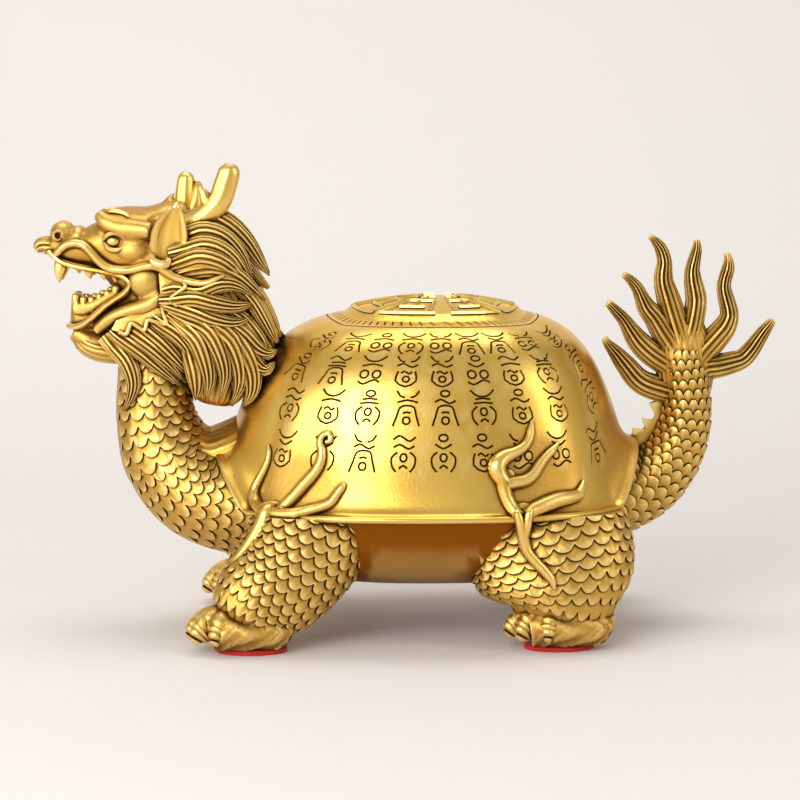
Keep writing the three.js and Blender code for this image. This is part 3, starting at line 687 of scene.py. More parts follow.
def head_base():
    """The head's rounded masses, melted into one form as a modeller's clay would be."""
    upper = sweep([[-117, 0, 127, 2.6, 5.4], [-113.8, 0, 127.3, 5.2, 7.4], [-106, 0, 126.6, 6.4, 9],
                   [-98.5, 0, 127, 9.5, 10.6], [-90, 0, 125, 14, 12.5], [-81, 0, 120.5, 16.5, 13.5],
                   [-73, 0, 118, 15, 13]], sides=36, steps=44, square=0.85)
    masses = [
        sweep([[-108, 0, 111.8, 1.9, 4.6], [-107.5, 0, 106, 2.8, 6], [-107.7, 0, 101, 2.8, 5.6]],
              sides=20, steps=12),
        sweep([[-109.4, 0, 103.5, 2.0, 5.0], [-106, 0, 103.6, 3.2, 7.2], [-101, 0, 104.6, 4.2, 9],
               [-94.5, 0, 106.5, 5.5, 10.5], [-86, 0, 109.5, 9.5, 11.5]], sides=24, steps=20, square=0.85),
        sweep([[-98, 0, 102, 4, 9], [-91, 0, 104, 6.6, 11.6], [-82, 0, 107.5, 9.6, 13.6],
               [-73, 0, 110, 10.5, 14.6]], sides=32, steps=20, square=0.75),
        sweep([[-100, 0, 136.4, 2.6, 5.5], [-92, 0, 136, 4.6, 9], [-84, 0, 136, 4.6, 10],
               [-77, 0, 138, 4.4, 9], [-72, 0, 139.5, 2.6, 6]], sides=24, steps=16),
        sweep([[-79, 0, 140, 2, 3.4], [-77.5, 0, 142.6, 1.3, 2], [-75.8, 0, 145.2, 0.4, 0.6]],
              sides=12, steps=8),
        sweep([[-109, 0, 100, 3.4, 5.4], [-104, 0, 96.6, 4.8, 7.4], [-99, 0, 95.4, 5.4, 8],
               [-92, 0, 95.8, 5.6, 8]], sides=20, steps=16),
    ]
    masses += both([[-100, 6.3, 138, 2, 2.6], [-97.6, 8.5, 135.8, 2.9, 3.2], [-93.6, 10.2, 134, 3.4, 3.4],
                    [-88.5, 11.6, 133.4, 3.5, 3.4], [-82.8, 13, 133, 2.8, 3]], sides=14, steps=16)
    masses += both([[-98.2, 5.6, 136.8, 1.8, 2.6], [-94.5, 6.6, 137, 2.4, 3.6], [-89.5, 7.6, 136.4, 2.6, 3.8],
                    [-84, 8, 135.6, 2.4, 3.4]], sides=14, steps=16)
    masses += both([[-79.5, 13.6, 112.2, 3, 3], [-84.2, 13.8, 109, 2.9, 2.9], [-90.6, 12.4, 107, 2.6, 2.6],
                    [-96.6, 10.4, 104.4, 2.3, 2.4], [-101.6, 8.4, 100.4, 1.6, 1.8]], sides=12, steps=16)
    for side in (NEAR, FAR):
        masses += [ball(-84.6, side * 12.2, 117.2, 6.2, (1, 0.7, 1)),
                   ball(-112.4, side * 3.6, 131.7, 4.2, (0.95, 1, 1)),
                   ball(-107.2, side * 3.8, 130.7, 3.6, (0.7, 1.2, 1)),
                   ball(-103.2, side * 4.4, 129.7, 3.2, (0.75, 1.3, 0.9)),
                   ball(-88.6, side * 10.6, 126.6, 4.8, (1.25, 0.7, 0.9))]
    whole = combined(upper, masses)
    melt = whole.modifiers.new("melt", "REMESH")
    melt.mode = "VOXEL"
    melt.voxel_size = 0.75
    soften = whole.modifiers.new("soften", "SMOOTH")
    soften.iterations = 2
    whole = applied(whole)
    layer = whole.data.attributes.new("finish", "FLOAT", "FACE")
    layer.data.foreach_set("value", np.full(len(whole.data.polygons), SCALY))
    return whole


def tooth(base, tip, half):
    """A pointed tooth on each side."""
    x, y, z = base
    tip_x, tip_y, tip_z = tip
    middle = [(x + tip_x) / 2 - 0.3, (y + tip_y) / 2, (z + tip_z) / 2, half * 0.75, half * 0.7]
    return both([[x, y, z, half, half * 0.9], middle, [tip_x, tip_y, tip_z, 0.2, 0.2]], sides=8, steps=4)


# Lines of the whisker and the lips, from the muzzle: [x, y, z]
WHISKER = [[-113.9, 7, 125.4], [-112.1, 8.2, 127.3], [-110.1, 8.9, 128.6], [-107.5, 9.4, 129],
           [-104.9, 10, 128.3], [-102.6, 10.6, 126.2], [-100.3, 11.2, 123.6], [-97.7, 11.9, 121.6],
           [-94.6, 12.7, 120.6], [-89.5, 14, 120.6], [-84.2, 15.7, 121.9],
           [-80.5, 16.4, 121.6], [-75.6, 17.4, 118.7], [-71, 18.4, 117.1], [-66.1, 19.2, 116.5],
           [-62.8, 19.6, 117.5], [-59.2, 19.6, 119.2]]
LIP = [[-116.2, 5.6, 126], [-114.2, 7, 124.1], [-112.2, 7.6, 122.8], [-109, 8.3, 121.8],
       [-104.7, 9.2, 120.9], [-99.8, 10.2, 120.1], [-94.9, 11.2, 119.1], [-91.9, 12, 118.1],
       [-90, 12.4, 115.9], [-92, 12, 112.9], [-95, 11.4, 110.9], [-98.3, 10.6, 108.6],
       [-101.7, 9.6, 105.6], [-105.1, 8.2, 102.9], [-108, 6.4, 101.6], [-110.2, 3.6, 101.6]]
# The upper jaw's teeth behind the fang: x, height of the tip, half width
UPPER_TEETH = [(-106.4, 119.2, 1.2), (-102.9, 117.3, 1.9), (-98.4, 117, 1.7), (-94.8, 116.4, 1.4)]
# Tops of the lower jaw's blunt back teeth, as seen from the side
MOLARS = [(-108, 112.4), (-105.4, 111.5), (-102.7, 111.5), (-100, 112.5), (-97.4, 113.6), (-94.7, 115.2)]
# Outlines of the plates that end the mane behind the cheek, as seen from the side
BACK_COLLAR = [[-80.5, 119.6], [-77, 120.5], [-71.7, 115.9], [-76.9, 111.1], [-71.7, 107.2],
               [-77.5, 106.8], [-80, 112]]
LOW_COLLAR = [[-79.5, 108.5], [-78.2, 103.2], [-84.1, 104.4], [-85.4, 101.2], [-89.5, 103.4],
              [-91.3, 99.9], [-96, 101.2], [-94.5, 104.2], [-87, 107.2]]


COLLAR_THICKNESS = 6


def back_collar_side(x, z):
    return 19.3 + 0.33 * (x + 72)


def low_collar_side(x, z):
    return 15.9 + 0.16 * (x + 84) - 0.12 * (z - 104)


def mouth():
    """Whiskers, lips, the snout's curled tip, the chin, the gums and the tongue."""
    widths = [*np.linspace(1.4, 1.5, len(WHISKER) - 3), 1.3, 1.0, 0.4]
    snout_tip = [[-110, 0, 127, 4, 6.6], [-116.5, 0, 127.7, 3.2, 6.2], [-119.4, 0, 127.7, 2.8, 5.2],
                 [-121.2, 0, 126.4, 1.6, 3.8]]
    chin = [[-108.4, 0, 99.4, 2.6, 4.8], [-104.5, 0, 96.2, 5, 7.6], [-99, 0, 94.7, 5.8, 8.4],
            [-92.5, 0, 94.9, 5.9, 8.4], [-87, 0, 97, 4, 7]]
    gum = [[-108.2, 5, 107.6, 2.4, 1.9], [-103.4, 6.8, 107.8, 2.5, 2], [-98.6, 8.2, 109.8, 2.5, 2],
           [-94.6, 9.2, 112, 2.3, 2]]
    tongue = [[-104, 0, 108.5, 1.5, 4], [-98, 0, 110.5, 2, 4.5], [-92, 0, 111, 2, 5]]
    return [*both([[*place, width, 1.3 * width] for place, width in zip(WHISKER, widths)],
                  sides=12, steps=68, finish=POLISHED),
            *both([[*place, 1.1, 1.7] for place in LIP], sides=10, steps=60, finish=POLISHED),
            sweep(snout_tip, sides=60, steps=14, lift=strand_lift(7, 1.1)),
            sweep(chin, sides=54, steps=18, lift=strand_lift(18, 0.5)),
            *both(gum, sides=14, steps=12, finish=SCALY), sweep(tongue, sides=14, steps=10)]


def teeth():
    parts = tooth((-112.3, 6.6, 122.6), (-113.3, 7, 115.9), 2.4)
    for x, z, half in UPPER_TEETH:
        y = 8.2 + 0.24 * (x + 106)
        parts += tooth((x - 0.2, y, 120.6), (x, y - 0.2, z), half)
    for k, (x, top) in enumerate(MOLARS):
        y = 5.6 + 0.8 * k
        parts += both([[x + 0.4, y, top - 5, 1.5, 1.6], [x, y, top - 2, 1.5, 1.5],
                       [x - 0.1, y, top - 0.5, 1.25, 1.3], [x - 0.1, y, top, 0.6, 0.7]], sides=12, steps=8)
    return parts


NOSTRIL = (-113.4, 131.4)


def eyes_and_nose():
    """Eyeballs and their lids, the swirl on the brow and the curl round the nostril."""
    x, z = NOSTRIL
    curl = [[x + 1.5 * math.cos(a), 6.9, z + 1.5 * math.sin(a), 0.6, 1.2]
            for a in np.linspace(0.2, 1.7 * np.pi, 9)]
    swirl = [[-99, 6.6, 138.4, 0.9, 1.4], [-95.5, 8, 139.2, 1, 1.4], [-91.5, 9.4, 138.4, 0.9, 1.4],
             [-90, 11, 136.6, 0.8, 1.2], [-93, 11.6, 136.2, 0.6, 1]]
    lower_lid = [[-98.2, 10.4, 129.2, 0.5, 0.7], [-96.6, 11.8, 127.4, 0.8, 0.9],
                 [-94.2, 12.4, 126.9, 0.8, 0.9], [-91.6, 12.4, 128, 0.5, 0.7]]
    upper_lid = [[-98.6, 10.2, 130, 0.5, 0.8], [-96.6, 11.4, 132, 0.8, 1.1],
                 [-93.8, 12, 132.2, 0.8, 1.1], [-91.2, 12.2, 130.4, 0.5, 0.8]]
    parts = [ball(-95.2, side * 10.9, 129.5, 2.0, (1.15, 0.8, 0.95)) for side in (NEAR, FAR)]
    for line, sides, steps in ((curl, 8, 24), (swirl, 10, 24), (lower_lid, 8, 14), (upper_lid, 8, 14)):
        parts += both(line, sides=sides, steps=steps)
    return parts


def collars():
    """Toothed plates behind the jaw, each with a bead along its teeth."""
    parts = []
    for outline, outer, toothed in ((BACK_COLLAR, back_collar_side, slice(1, 5)),
                                    (LOW_COLLAR, low_collar_side, slice(0, 7))):
        for side in (FAR, NEAR):
            parts.append(plate(outline, lambda x, z: side * outer(x, z),
                               lambda x, z: side * (outer(x, z) - COLLAR_THICKNESS), GRAINED))
        bead = []
        for first, second in zip(outline[toothed], outline[toothed][1:]):
            for share in (0, 0.5):
                x, z = (a + share * (b - a) for a, b in zip(first, second))
                bead.append([x, outer(x, z), z, 0.75, 0.9])
        parts += both(bead, sides=8, steps=4 * len(bead))
    return parts


def ears():
    def hollow(outward):
        def lift(t, angle):
            facing = np.exp(-(np.cos(angle) / 0.76) ** 8) * (np.sin(angle) * outward > 0)
            return -3.4 * facing * np.sin(np.pi * np.clip(1.1 * t, 0, 1)) ** 0.7
        return lift

    line = [[-77, 13, 122.5, 4, 2.8], [-77.2, 15.5, 127.6, 6.1, 2.8], [-76.6, 16.8, 133, 5.8, 2.5],
            [-75.4, 17.3, 138, 3.8, 1.9], [-74.4, 17.6, 142.6, 0.4, 0.5]]
    lobe = [[-82.6, 15.8, 125.6, 1, 1], [-82.2, 17, 123.6, 1.5, 1.4], [-80.2, 17.6, 122.4, 1.7, 1.5],
            [-77.8, 17.6, 122.6, 1.5, 1.4], [-76.9, 17.4, 124.6, 0.9, 0.9]]
    parts = []
    for side in (NEAR, FAR):
        parts.append(sweep(on_side(line, side), sides=40, steps=22, finish=POLISHED, lift=hollow(side)))
        parts.append(sweep(on_side(lobe, side), sides=10, steps=16, finish=POLISHED))
    return parts


def antlers():
    near = [[-74, -8, 134, 3.6, 3.2], [-66.5, -9.5, 137, 4, 3.4], [-61, -10, 142.4, 4.1, 3.4],
            [-58.6, -10, 148.8, 4, 3.2], [-57.5, -10, 152.7, 3.5, 2.9], [-57.2, -10, 154.6, 1.7, 1.7]]
    near_tine = [[-62.5, -9.8, 139, 3, 2.6], [-65, -9.8, 143, 2.4, 2.2], [-66.4, -9.8, 146.2, 1.2, 1.2]]
    far = [[-76, 7.5, 134, 4.6, 3.6], [-73, 8.5, 140.5, 3.8, 3.2], [-72.6, 9, 146, 3.2, 2.8],
           [-72.2, 9.5, 150, 2.7, 2.4], [-72, 9.5, 151.5, 1.2, 1.2]]
    far_tine = [[-71, 8, 136.5, 3.6, 3], [-69, 8.5, 142.5, 2.8, 2.6], [-68.6, 9, 146.5, 2.1, 1.9],
                [-68.5, 9, 148.5, 0.9, 0.9]]

    def fluted(t, angle):
        return -0.2 * (1 - np.abs(np.sin(3 * angle))) * np.sin(np.pi * t)

    return [sweep(line, sides=24, steps=26, finish=POLISHED, lift=fluted)
            for line in (near, near_tine, far, far_tine)]


# Hair: locks whose strands are ridges that run together at the tip

def strand_lift(ridges, groove):
    def lift(t, angle):
        valley = 1 - np.abs(np.sin(ridges * angle / 2)) ** 0.8
        return -groove * valley * np.clip(4 * (1 - t), 0.25, 1)
    return lift


def hair(points, half, depth, ridges=12, steps=16, groove=0.62, fullness=None):
    stations = []
    for i, (x, y, z) in enumerate(points):
        share = i / (len(points) - 1)
        if fullness:
            full = fullness(share)
        else:
            full = (0.74 + 0.26 * math.sin(math.pi * min(1, share / 0.8))) * (1 - share ** 5) ** 0.7 + 0.06
        stations.append([x, y, z, half * full, depth * full])
    return sweep(stations, sides=3 * ridges, steps=steps, finish=STRANDS,
                 lift=strand_lift(ridges, groove))


# The locks on one side, from root to tip: [x, y, z], in tiers from the crest down.
CREST_LOCKS = [
    [[-76, 7, 135], [-71.4, 8, 136], [-64.7, 9, 137.1], [-58.1, 9.5, 134.1], [-52.5, 9, 128.8],
     [-48.3, 8, 122.7], [-44.8, 7, 118]],
    [[-77, 13, 129], [-72.5, 13, 130.3], [-66.2, 13.5, 132.6], [-59.4, 14, 130.7], [-53.8, 13.5, 124.7],
     [-50.2, 12, 117]],
    [[-77, 15, 125.5], [-72.4, 15.5, 126.5], [-65.5, 16, 128.2], [-59, 16.5, 125.9], [-54.1, 15.5, 120.6],
     [-51.2, 14, 114.5]],
    [[-77, 16, 121.5], [-73, 16.5, 122.9], [-67.1, 17.5, 124.6], [-59.9, 17.8, 122.7], [-54.1, 16.5, 117.7],
     [-49.2, 14.5, 113.3]],
    [[-74, 16, 119], [-69.4, 16.5, 120.3], [-62.5, 17, 121], [-55.7, 17, 118.4], [-50.2, 15, 113.9],
     [-46.3, 13, 110.5]],
]
BACK_LOCKS = [
    [[-79, 15.5, 114], [-75, 16.5, 114.7], [-67.7, 18, 113.8], [-60.9, 18.5, 116.2], [-54.7, 18, 115.5],
     [-48.9, 15.5, 111]],
    [[-80, 15.5, 110.6], [-76.3, 16.5, 110.8], [-69.3, 18.5, 111.6], [-62.5, 19, 110], [-55.4, 18, 108.9],
     [-48.2, 15.5, 110]],
    [[-79, 15.5, 110], [-75.6, 16.5, 109.1], [-69, 18, 107], [-62.5, 18.5, 104.4], [-55.4, 17.5, 103.3],
     [-49.5, 15, 105.7]],
    [[-64, 16, 106], [-59.3, 16.3, 103.5], [-53.7, 16.5, 99.6], [-49.2, 16.5, 95], [-45.3, 17, 93.4],
     [-42.3, 18, 94.8]],
    [[-61, 16, 104.5], [-57.3, 16.3, 100.9], [-52.8, 16.5, 94.7], [-48.8, 17, 89.5], [-45.6, 18, 88.6],
     [-43.3, 20, 91.1]],
]
HANGING_LOCKS = [
    [[-65, 16, 106], [-60.6, 16.5, 102.2], [-54.4, 17.5, 95.4], [-50.8, 17.5, 87.6], [-50.8, 17, 80.6],
     [-53.8, 15.5, 75.8]],
    [[-72, 16, 108], [-67.8, 17, 104.9], [-58.6, 18, 99.1], [-54.7, 18, 91.2], [-54.4, 17, 83.2],
     [-57.7, 15, 76.1]],
    [[-77, 15.5, 107.5], [-73, 16, 105.5], [-65.1, 18, 101.7], [-60.9, 18.5, 94.5], [-59.3, 17.5, 86.2],
     [-61.6, 15, 77.4]],
    [[-78, 15, 107], [-74.4, 15.5, 104.1], [-68.4, 17.5, 99], [-65.5, 17.5, 91.8], [-64.5, 16.5, 84.5],
     [-65.9, 14, 77.6]],
    [[-72, 14.5, 98], [-70.4, 15, 94.2], [-68.8, 15.5, 87.7], [-68.5, 15, 82.3], [-69.2, 13, 77.8]],
    [[-58, 15.5, 98], [-55, 16.5, 92], [-53.6, 16.8, 85], [-54.5, 15.5, 79]],
]
BEARD_LOCKS = [
    [[-79, 14.5, 106.5], [-75, 15.5, 103.5], [-69.4, 16.8, 98], [-67.5, 16.5, 91.7], [-69.5, 14.5, 84.6]],
    [[-83.5, 14, 106], [-79.9, 15, 103.4], [-74.3, 16, 99.6], [-70.7, 16, 94.3], [-71.8, 14.5, 87.9]],
    [[-90, 12.5, 105], [-86.6, 13.5, 102.3], [-79.9, 14.8, 96.8], [-74.4, 15, 90.9], [-70.5, 13.5, 85.5]],
    [[-93, 11.5, 102.5], [-89.9, 12.5, 100.5], [-83.2, 14.3, 95.8], [-77.3, 14.6, 90.2], [-72.5, 13.5, 84.1]],
    [[-96, 11, 101], [-92.9, 12, 98.8], [-86.2, 13.3, 94], [-79.7, 13.6, 88.1], [-73.2, 12.5, 82]],
]
THROAT_LOCK = [[-98, 9, 99], [-95.7, 9.8, 96], [-91.2, 12, 90.6], [-89.2, 12.5, 84], [-90.3, 11.8, 78.6],
               [-92.7, 10.5, 74.2]]


def mane():
    parts = [sweep([[-84, 0, 124, 14, 13], [-72.5, 0, 119.5, 15.5, 16.5], [-63, 0, 110, 14.5, 17.5],
                    [-60, 0, 97, 12.5, 17], [-61.5, 0, 86, 10.5, 15.5], [-63, 0, 78.5, 8.5, 13],
                    [-63.5, 0, 75.8, 5.5, 10]],
                   sides=96, steps=30, finish=STRANDS, lift=strand_lift(32, 0.6), square=0.85),
             sweep([[-92, 0, 99, 5, 10.5], [-84, 0, 97, 8, 12.6], [-76, 0, 95, 9.5, 14],
                    [-70, 0, 93, 8, 14]], sides=60, steps=16, finish=STRANDS, lift=strand_lift(20, 0.5))]
    for side in (NEAR, FAR):
        for tier, half, depth in ((CREST_LOCKS, 3.6, 2.6), (BACK_LOCKS, 3.3, 2.5),
                                  (HANGING_LOCKS, 3.7, 2.6), (BEARD_LOCKS, 3.3, 2.4)):
            parts += [hair(on_side(points, side), half, depth) for points in tier]
        parts.append(hair(on_side(THROAT_LOCK, side), 3.3, 2.7,
                          fullness=lambda share: 1 - share ** 2.5 + 0.08))
    nape_locks = [
        [[-64, 118], [-56, 117], [-50, 111.5], [-46, 105], [-43, 99.5], [-41, 98]],
        [[-62, 110], [-54, 106.5], [-48.5, 100.5], [-45, 94.5], [-42.5, 92]],
        [[-60, 101], [-53, 97], [-49, 90], [-48.5, 84], [-50.5, 79]],
        [[-62, 94], [-56, 89], [-54, 82], [-56.5, 76.5]],
    ]
    for y, swing in ((-12.5, 0.8), (-6.5, 0), (6.5, 0), (12.5, 0.8)):
        parts += [hair([[x - swing, y, z - swing] for x, z in points], 3.0, 4.6, ridges=14)
                  for points in nape_locks]
    middle_locks = [
        [[-80, 0, 131], [-71, 0, 134], [-63, 0, 132], [-56, 0, 125.5], [-49, 0, 117], [-45, 0, 113.5]],
        [[-64, 0, 126], [-57, 0, 120.5], [-51, 0, 114], [-48, 0, 108]],
        [[-62, 0, 114], [-54, 0, 107], [-48, 0, 102], [-43, 0, 98.5], [-40, 0, 97]],
        [[-60, 0, 104], [-53, 0, 98], [-49, 0, 91], [-49, 0, 85]],
    ]
    parts += [hair(points, 4.5, 9.5, ridges=20, fullness=lambda share: 1 - 0.85 * share ** 2)
              for points in middle_locks]
    return parts


# Tail, fin and plume

def tail():
    body = scaly_sweep([[60, 0, 44, 16, 18], [72, 0, 44.5, 13.5, 15.5], [81.5, 0, 48, 11.5, 12.5],
                        [88.3, 0, 54.5, 10, 10.8], [92.6, 0, 63, 8.9, 9.5], [94.4, 0, 72, 8, 8.6],
                        [94.4, 0, 81, 7.1, 7.8], [93.5, 0, 88.5, 6.4, 7], [93.6, 0, 93, 4.6, 5.8],
                        [93.7, 0, 96.5, 1.5, 3.5]], around=15, pitch=3.3, height=0.85)
    outline = [[90, 76.5], [86.3, 75.6], [81.9, 74.3], [84, 70.3], [83.3, 68.6], [79.6, 69.3], [80.7, 65.9],
               [79.3, 65.6], [76.6, 65.9], [76.3, 63.4], [74, 62.9], [71.9, 65.3], [68, 64], [72, 56],
               [80, 52], [92, 62]]
    half = 1.4
    return [body, plate(outline, lambda x, z: -half, lambda x, z: half)]


# The plume's seven flames, from the palm to the tip: [x, z, half width] as seen from the side
PLUME = [
    [[93, 77.5, 4], [86, 79, 4.3], [78.8, 81.8, 4], [73.7, 87.5, 3.3], [70.6, 91.3, 2.5], [67.9, 94.3, 1.6],
     [66.7, 96.4, 0.5]],
    [[94, 84, 4.5], [83.7, 90.2, 4.2], [78.6, 94.6, 3.8], [75.6, 98.6, 3], [73.2, 102.3, 2.3],
     [70.8, 105, 1.9], [68.4, 107.4, 1.4], [67.4, 108.2, 0.6]],
    [[95, 86, 4.5], [87, 97.5, 4.2], [83.6, 102.9, 3.7], [80.8, 106.3, 3.2], [79.1, 109.6, 2.5],
     [77.7, 112.7, 2.1], [75.7, 115.3, 1.7], [73.6, 117, 1.2], [72.7, 117.6, 0.5]],
    [[95, 88, 4.5], [90.7, 100.6, 4.2], [88.6, 107.3, 4], [87.5, 110.9, 3.7], [86.4, 114.6, 3.3],
     [86.2, 118, 3], [86.5, 121.6, 2.5], [85.6, 125.3, 2.2], [83.9, 128, 1.7], [82.2, 129.6, 1],
     [81.4, 130.1, 0.4]],
    [[93.5, 86, 4.5], [94.8, 95.5, 4], [96.4, 102.2, 3.7], [97.3, 108.2, 3.5], [96.9, 111.9, 3.3],
     [96.2, 115.3, 3], [95.9, 118.9, 2.5], [96.6, 122.6, 2.1], [97.3, 125.9, 1.7], [97.3, 128.2, 1.1],
     [97.2, 129, 0.4]],
    [[94, 84, 4.5], [99.6, 91.1, 4.3], [103.2, 95.1, 4.3], [106.9, 99.5, 3.9], [108.5, 103.2, 3.2],
     [108.3, 106.2, 2.9], [107.4, 109.5, 2.7], [106.6, 112.9, 2.4], [106.9, 115.9, 2.3], [107.9, 119.2, 2.2],
     [108, 122.2, 1.5], [107.5, 124.5, 0.8]],
    [[94, 82, 4.5], [100, 86, 4.1], [104.4, 86.7, 4], [109.1, 87.7, 3.7], [113.1, 89, 3.3], [115.8, 91.7, 3],
     [117.9, 94.7, 2.7], [120.4, 98.4, 2.2], [122.6, 101.2, 1.5], [123.4, 102.2, 0.6]],
]


def plume():
    parts = [sweep([[94, 0, 72, 7, 6], [94, 0, 82, 9.5, 6.2], [93.5, 0, 92, 10, 5.6], [93, 0, 101, 7, 4]],
                   sides=80, steps=16, finish=STRANDS, lift=strand_lift(26, 0.6))]
    for line in PLUME:
        stations = []
        for i, (x, z, half) in enumerate(line):
            share = i / (len(line) - 1)
            half = max(half, 1)
            stations.append([x, 0, z, 1.05 * half, max(0.8 * half, 5.4 * (1 - 0.7 * share)) * min(1, half)])
        parts.append(sweep(stations, sides=39, steps=4 * len(line), finish=STRANDS,
                           lift=strand_lift(13, 0.75)))
    return parts


def casting():
    """The trunk with its cuts, joined with all else, drilled at the nostrils and level underneath."""
    body = combined(trunk(), inscription_cuts() + dome_band_cuts(), "DIFFERENCE")
    parts = [*neck(), head_base(), *mouth(), *teeth(), *eyes_and_nose(), *collars(), *ears(), *antlers(),
             *mane(), *legs(), *branches(), *medallion(), *tail(), *plume()]
    whole = combined(body, parts)
    x, z = NOSTRIL
    nostrils = [ball(x, side * 7.6, z, 0.9, (1, 1.3, 1), rows=8, sides=12) for side in (NEAR, FAR)]
    return combined(whole, [below_soles(), *nostrils], "DIFFERENCE")


def below_soles():
    """All the space under the soles, which cuts them level."""
    corners = [[x, y, z] for x in (-200, 200) for y in (-100, 100) for z in (SOLE_Z - 50, SOLE_Z)]
    faces = [[0, 1, 3, 2], [4, 6, 7, 5], [0, 4, 5, 1], [2, 3, 7, 6], [0, 2, 6, 4], [1, 5, 7, 3]]
    return new_part(corners, faces, SATIN)


TRIANGLE_LIMIT = 198000


def finished(part, name, replaced, sharp_degrees):
    """Takes a piece out of the workshop, smooths it, names it, hangs it under the root and hides the part it
    replaces.
    """
    part.data.shade_smooth()
    part.data.set_sharp_from_angle(angle=math.radians(sharp_degrees))
    workshop.objects.unlink(part)
    bpy.context.scene.collection.objects.link(part)
    part.name = name
    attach(part, "root")
    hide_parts(replaced)


def scaled_casting():
    """The casting in metres, thinned to the limit of triangles."""
    part = casting()
    triangles = sum(len(face.vertices) - 2 for face in part.data.polygons)
    if triangles > TRIANGLE_LIMIT:
        thin = part.modifiers.new("thin", "DECIMATE")
        thin.ratio = TRIANGLE_LIMIT / triangles
        part = applied(part)
    places = np.empty(len(part.data.vertices) * 3)
    part.data.vertices.foreach_get("co", places)
    places = places.reshape(-1, 3) * UNIT + np.array([SHIFT_X, 0, 0])
    part.data.vertices.foreach_set("co", places.ravel())
    part.data.update()
    return part


# Materials

class Shading:
    """A material and short ways to build its nodes."""

    def __init__(self, name):
        self.material = bpy.data.materials.new(name)
        self.material.use_nodes = True
        self.tree = self.material.node_tree
        self.shader = self.tree.nodes["Principled BSDF"]
        self.place = self.node("TexCoord").outputs["Object"]

    def feed(self, socket, value):
        """Links a socket to another one, or sets it to a plain value."""
        if isinstance(value, bpy.types.NodeSocket):
            self.tree.links.new(value, socket)
        else:
            socket.default_value = value

    def node(self, kind, inputs=None, **settings):
        made = self.tree.nodes.new("ShaderNode" + kind)
        for name, value in settings.items():
            setattr(made, name, value)
        for key, value in (inputs or {}).items():
            self.feed(made.inputs[key], value)
        return made

    def noise(self, scale, detail):
        return self.node("TexNoise", {"Vector": self.place, "Scale": scale, "Detail": detail}).outputs["Fac"]

    def ramp(self, source, start, end, first=(0, 0, 0, 1), last=(1, 1, 1, 1)):
        """A colour that goes from first to last while source goes from start to end."""
        made = self.node("ValToRGB", {"Fac": source})
        for stop, position, colour in zip(made.color_ramp.elements, (start, end), (first, last)):
            stop.position = position
            stop.color = colour
        return made.outputs["Color"]

    def blend(self, factor, first, last):
        return self.node("Mix", {0: factor, 6: first, 7: last}, data_type="RGBA").outputs[2]

    def number(self, operation, a, b):
        return self.node("Math", {0: a, 1: b}, operation=operation, use_clamp=True).outputs[0]

    def bump(self, height, distance, strength):
        made = self.node("Bump", {"Height": height, "Distance": distance, "Strength": strength})
        self.feed(self.shader.inputs["Normal"], made.outputs["Normal"])

    def openness(self, distance, start, end):
        """1 where the surface is open within a distance, 0 deep in a recess."""
        made = self.node("AmbientOcclusion", {"Distance": distance}, samples=8)
        return self.ramp(made.outputs["AO"], start, end)


POLISHED_TONES = ((0.79, 0.47, 0.075, 1), (0.9, 0.59, 0.13, 1))
CAST_TONES = ((0.43, 0.225, 0.037, 1), (0.63, 0.37, 0.078, 1))
BRIGHT_CAST = (0.63, 0.365, 0.07, 1)
SHADED_BROWN = (0.26, 0.135, 0.03, 1)
RECESS_BROWN = (0.075, 0.033, 0.008, 1)
# Painted shade and painted reflection of a warm floor, laid on the belly under the shell.
PAINTED_BELLY_SHADE = (0.27, 0.08, 0.005, 1)
WORN_EDGE = (0.93, 0.67, 0.23, 1)
# Grained fields round the twigs: [x, distance from the middle plane, z] and how far each reaches
GRAINED_FIELDS = [((-38, 45, 53), 16), ((40, 46, 57), 15), ((72, 20, 60), 18)]


def grained_share(made):
    """1 inside the grained fields, which lie alike on both sides, fading to 0 outside them."""
    parted = made.node("SeparateXYZ", {0: made.place}).outputs
    aside = made.node("Math", {0: parted["Y"]}, operation="ABSOLUTE").outputs[0]
    mirrored_place = made.node("CombineXYZ", {"X": parted["X"], "Y": aside, "Z": parted["Z"]}).outputs[0]
    grained = 0
    for (x, y, z), reach in GRAINED_FIELDS:
        middle = (x * UNIT + SHIFT_X, y * UNIT, z * UNIT)
        away = made.node("VectorMath", {0: mirrored_place, 1: middle}, operation="DISTANCE").outputs["Value"]
        outside = made.ramp(made.number("DIVIDE", away, 2 * reach * UNIT), 0.36, 0.54)
        grained = made.number("MAXIMUM", grained, made.number("SUBTRACT", 1, outside))
    return grained


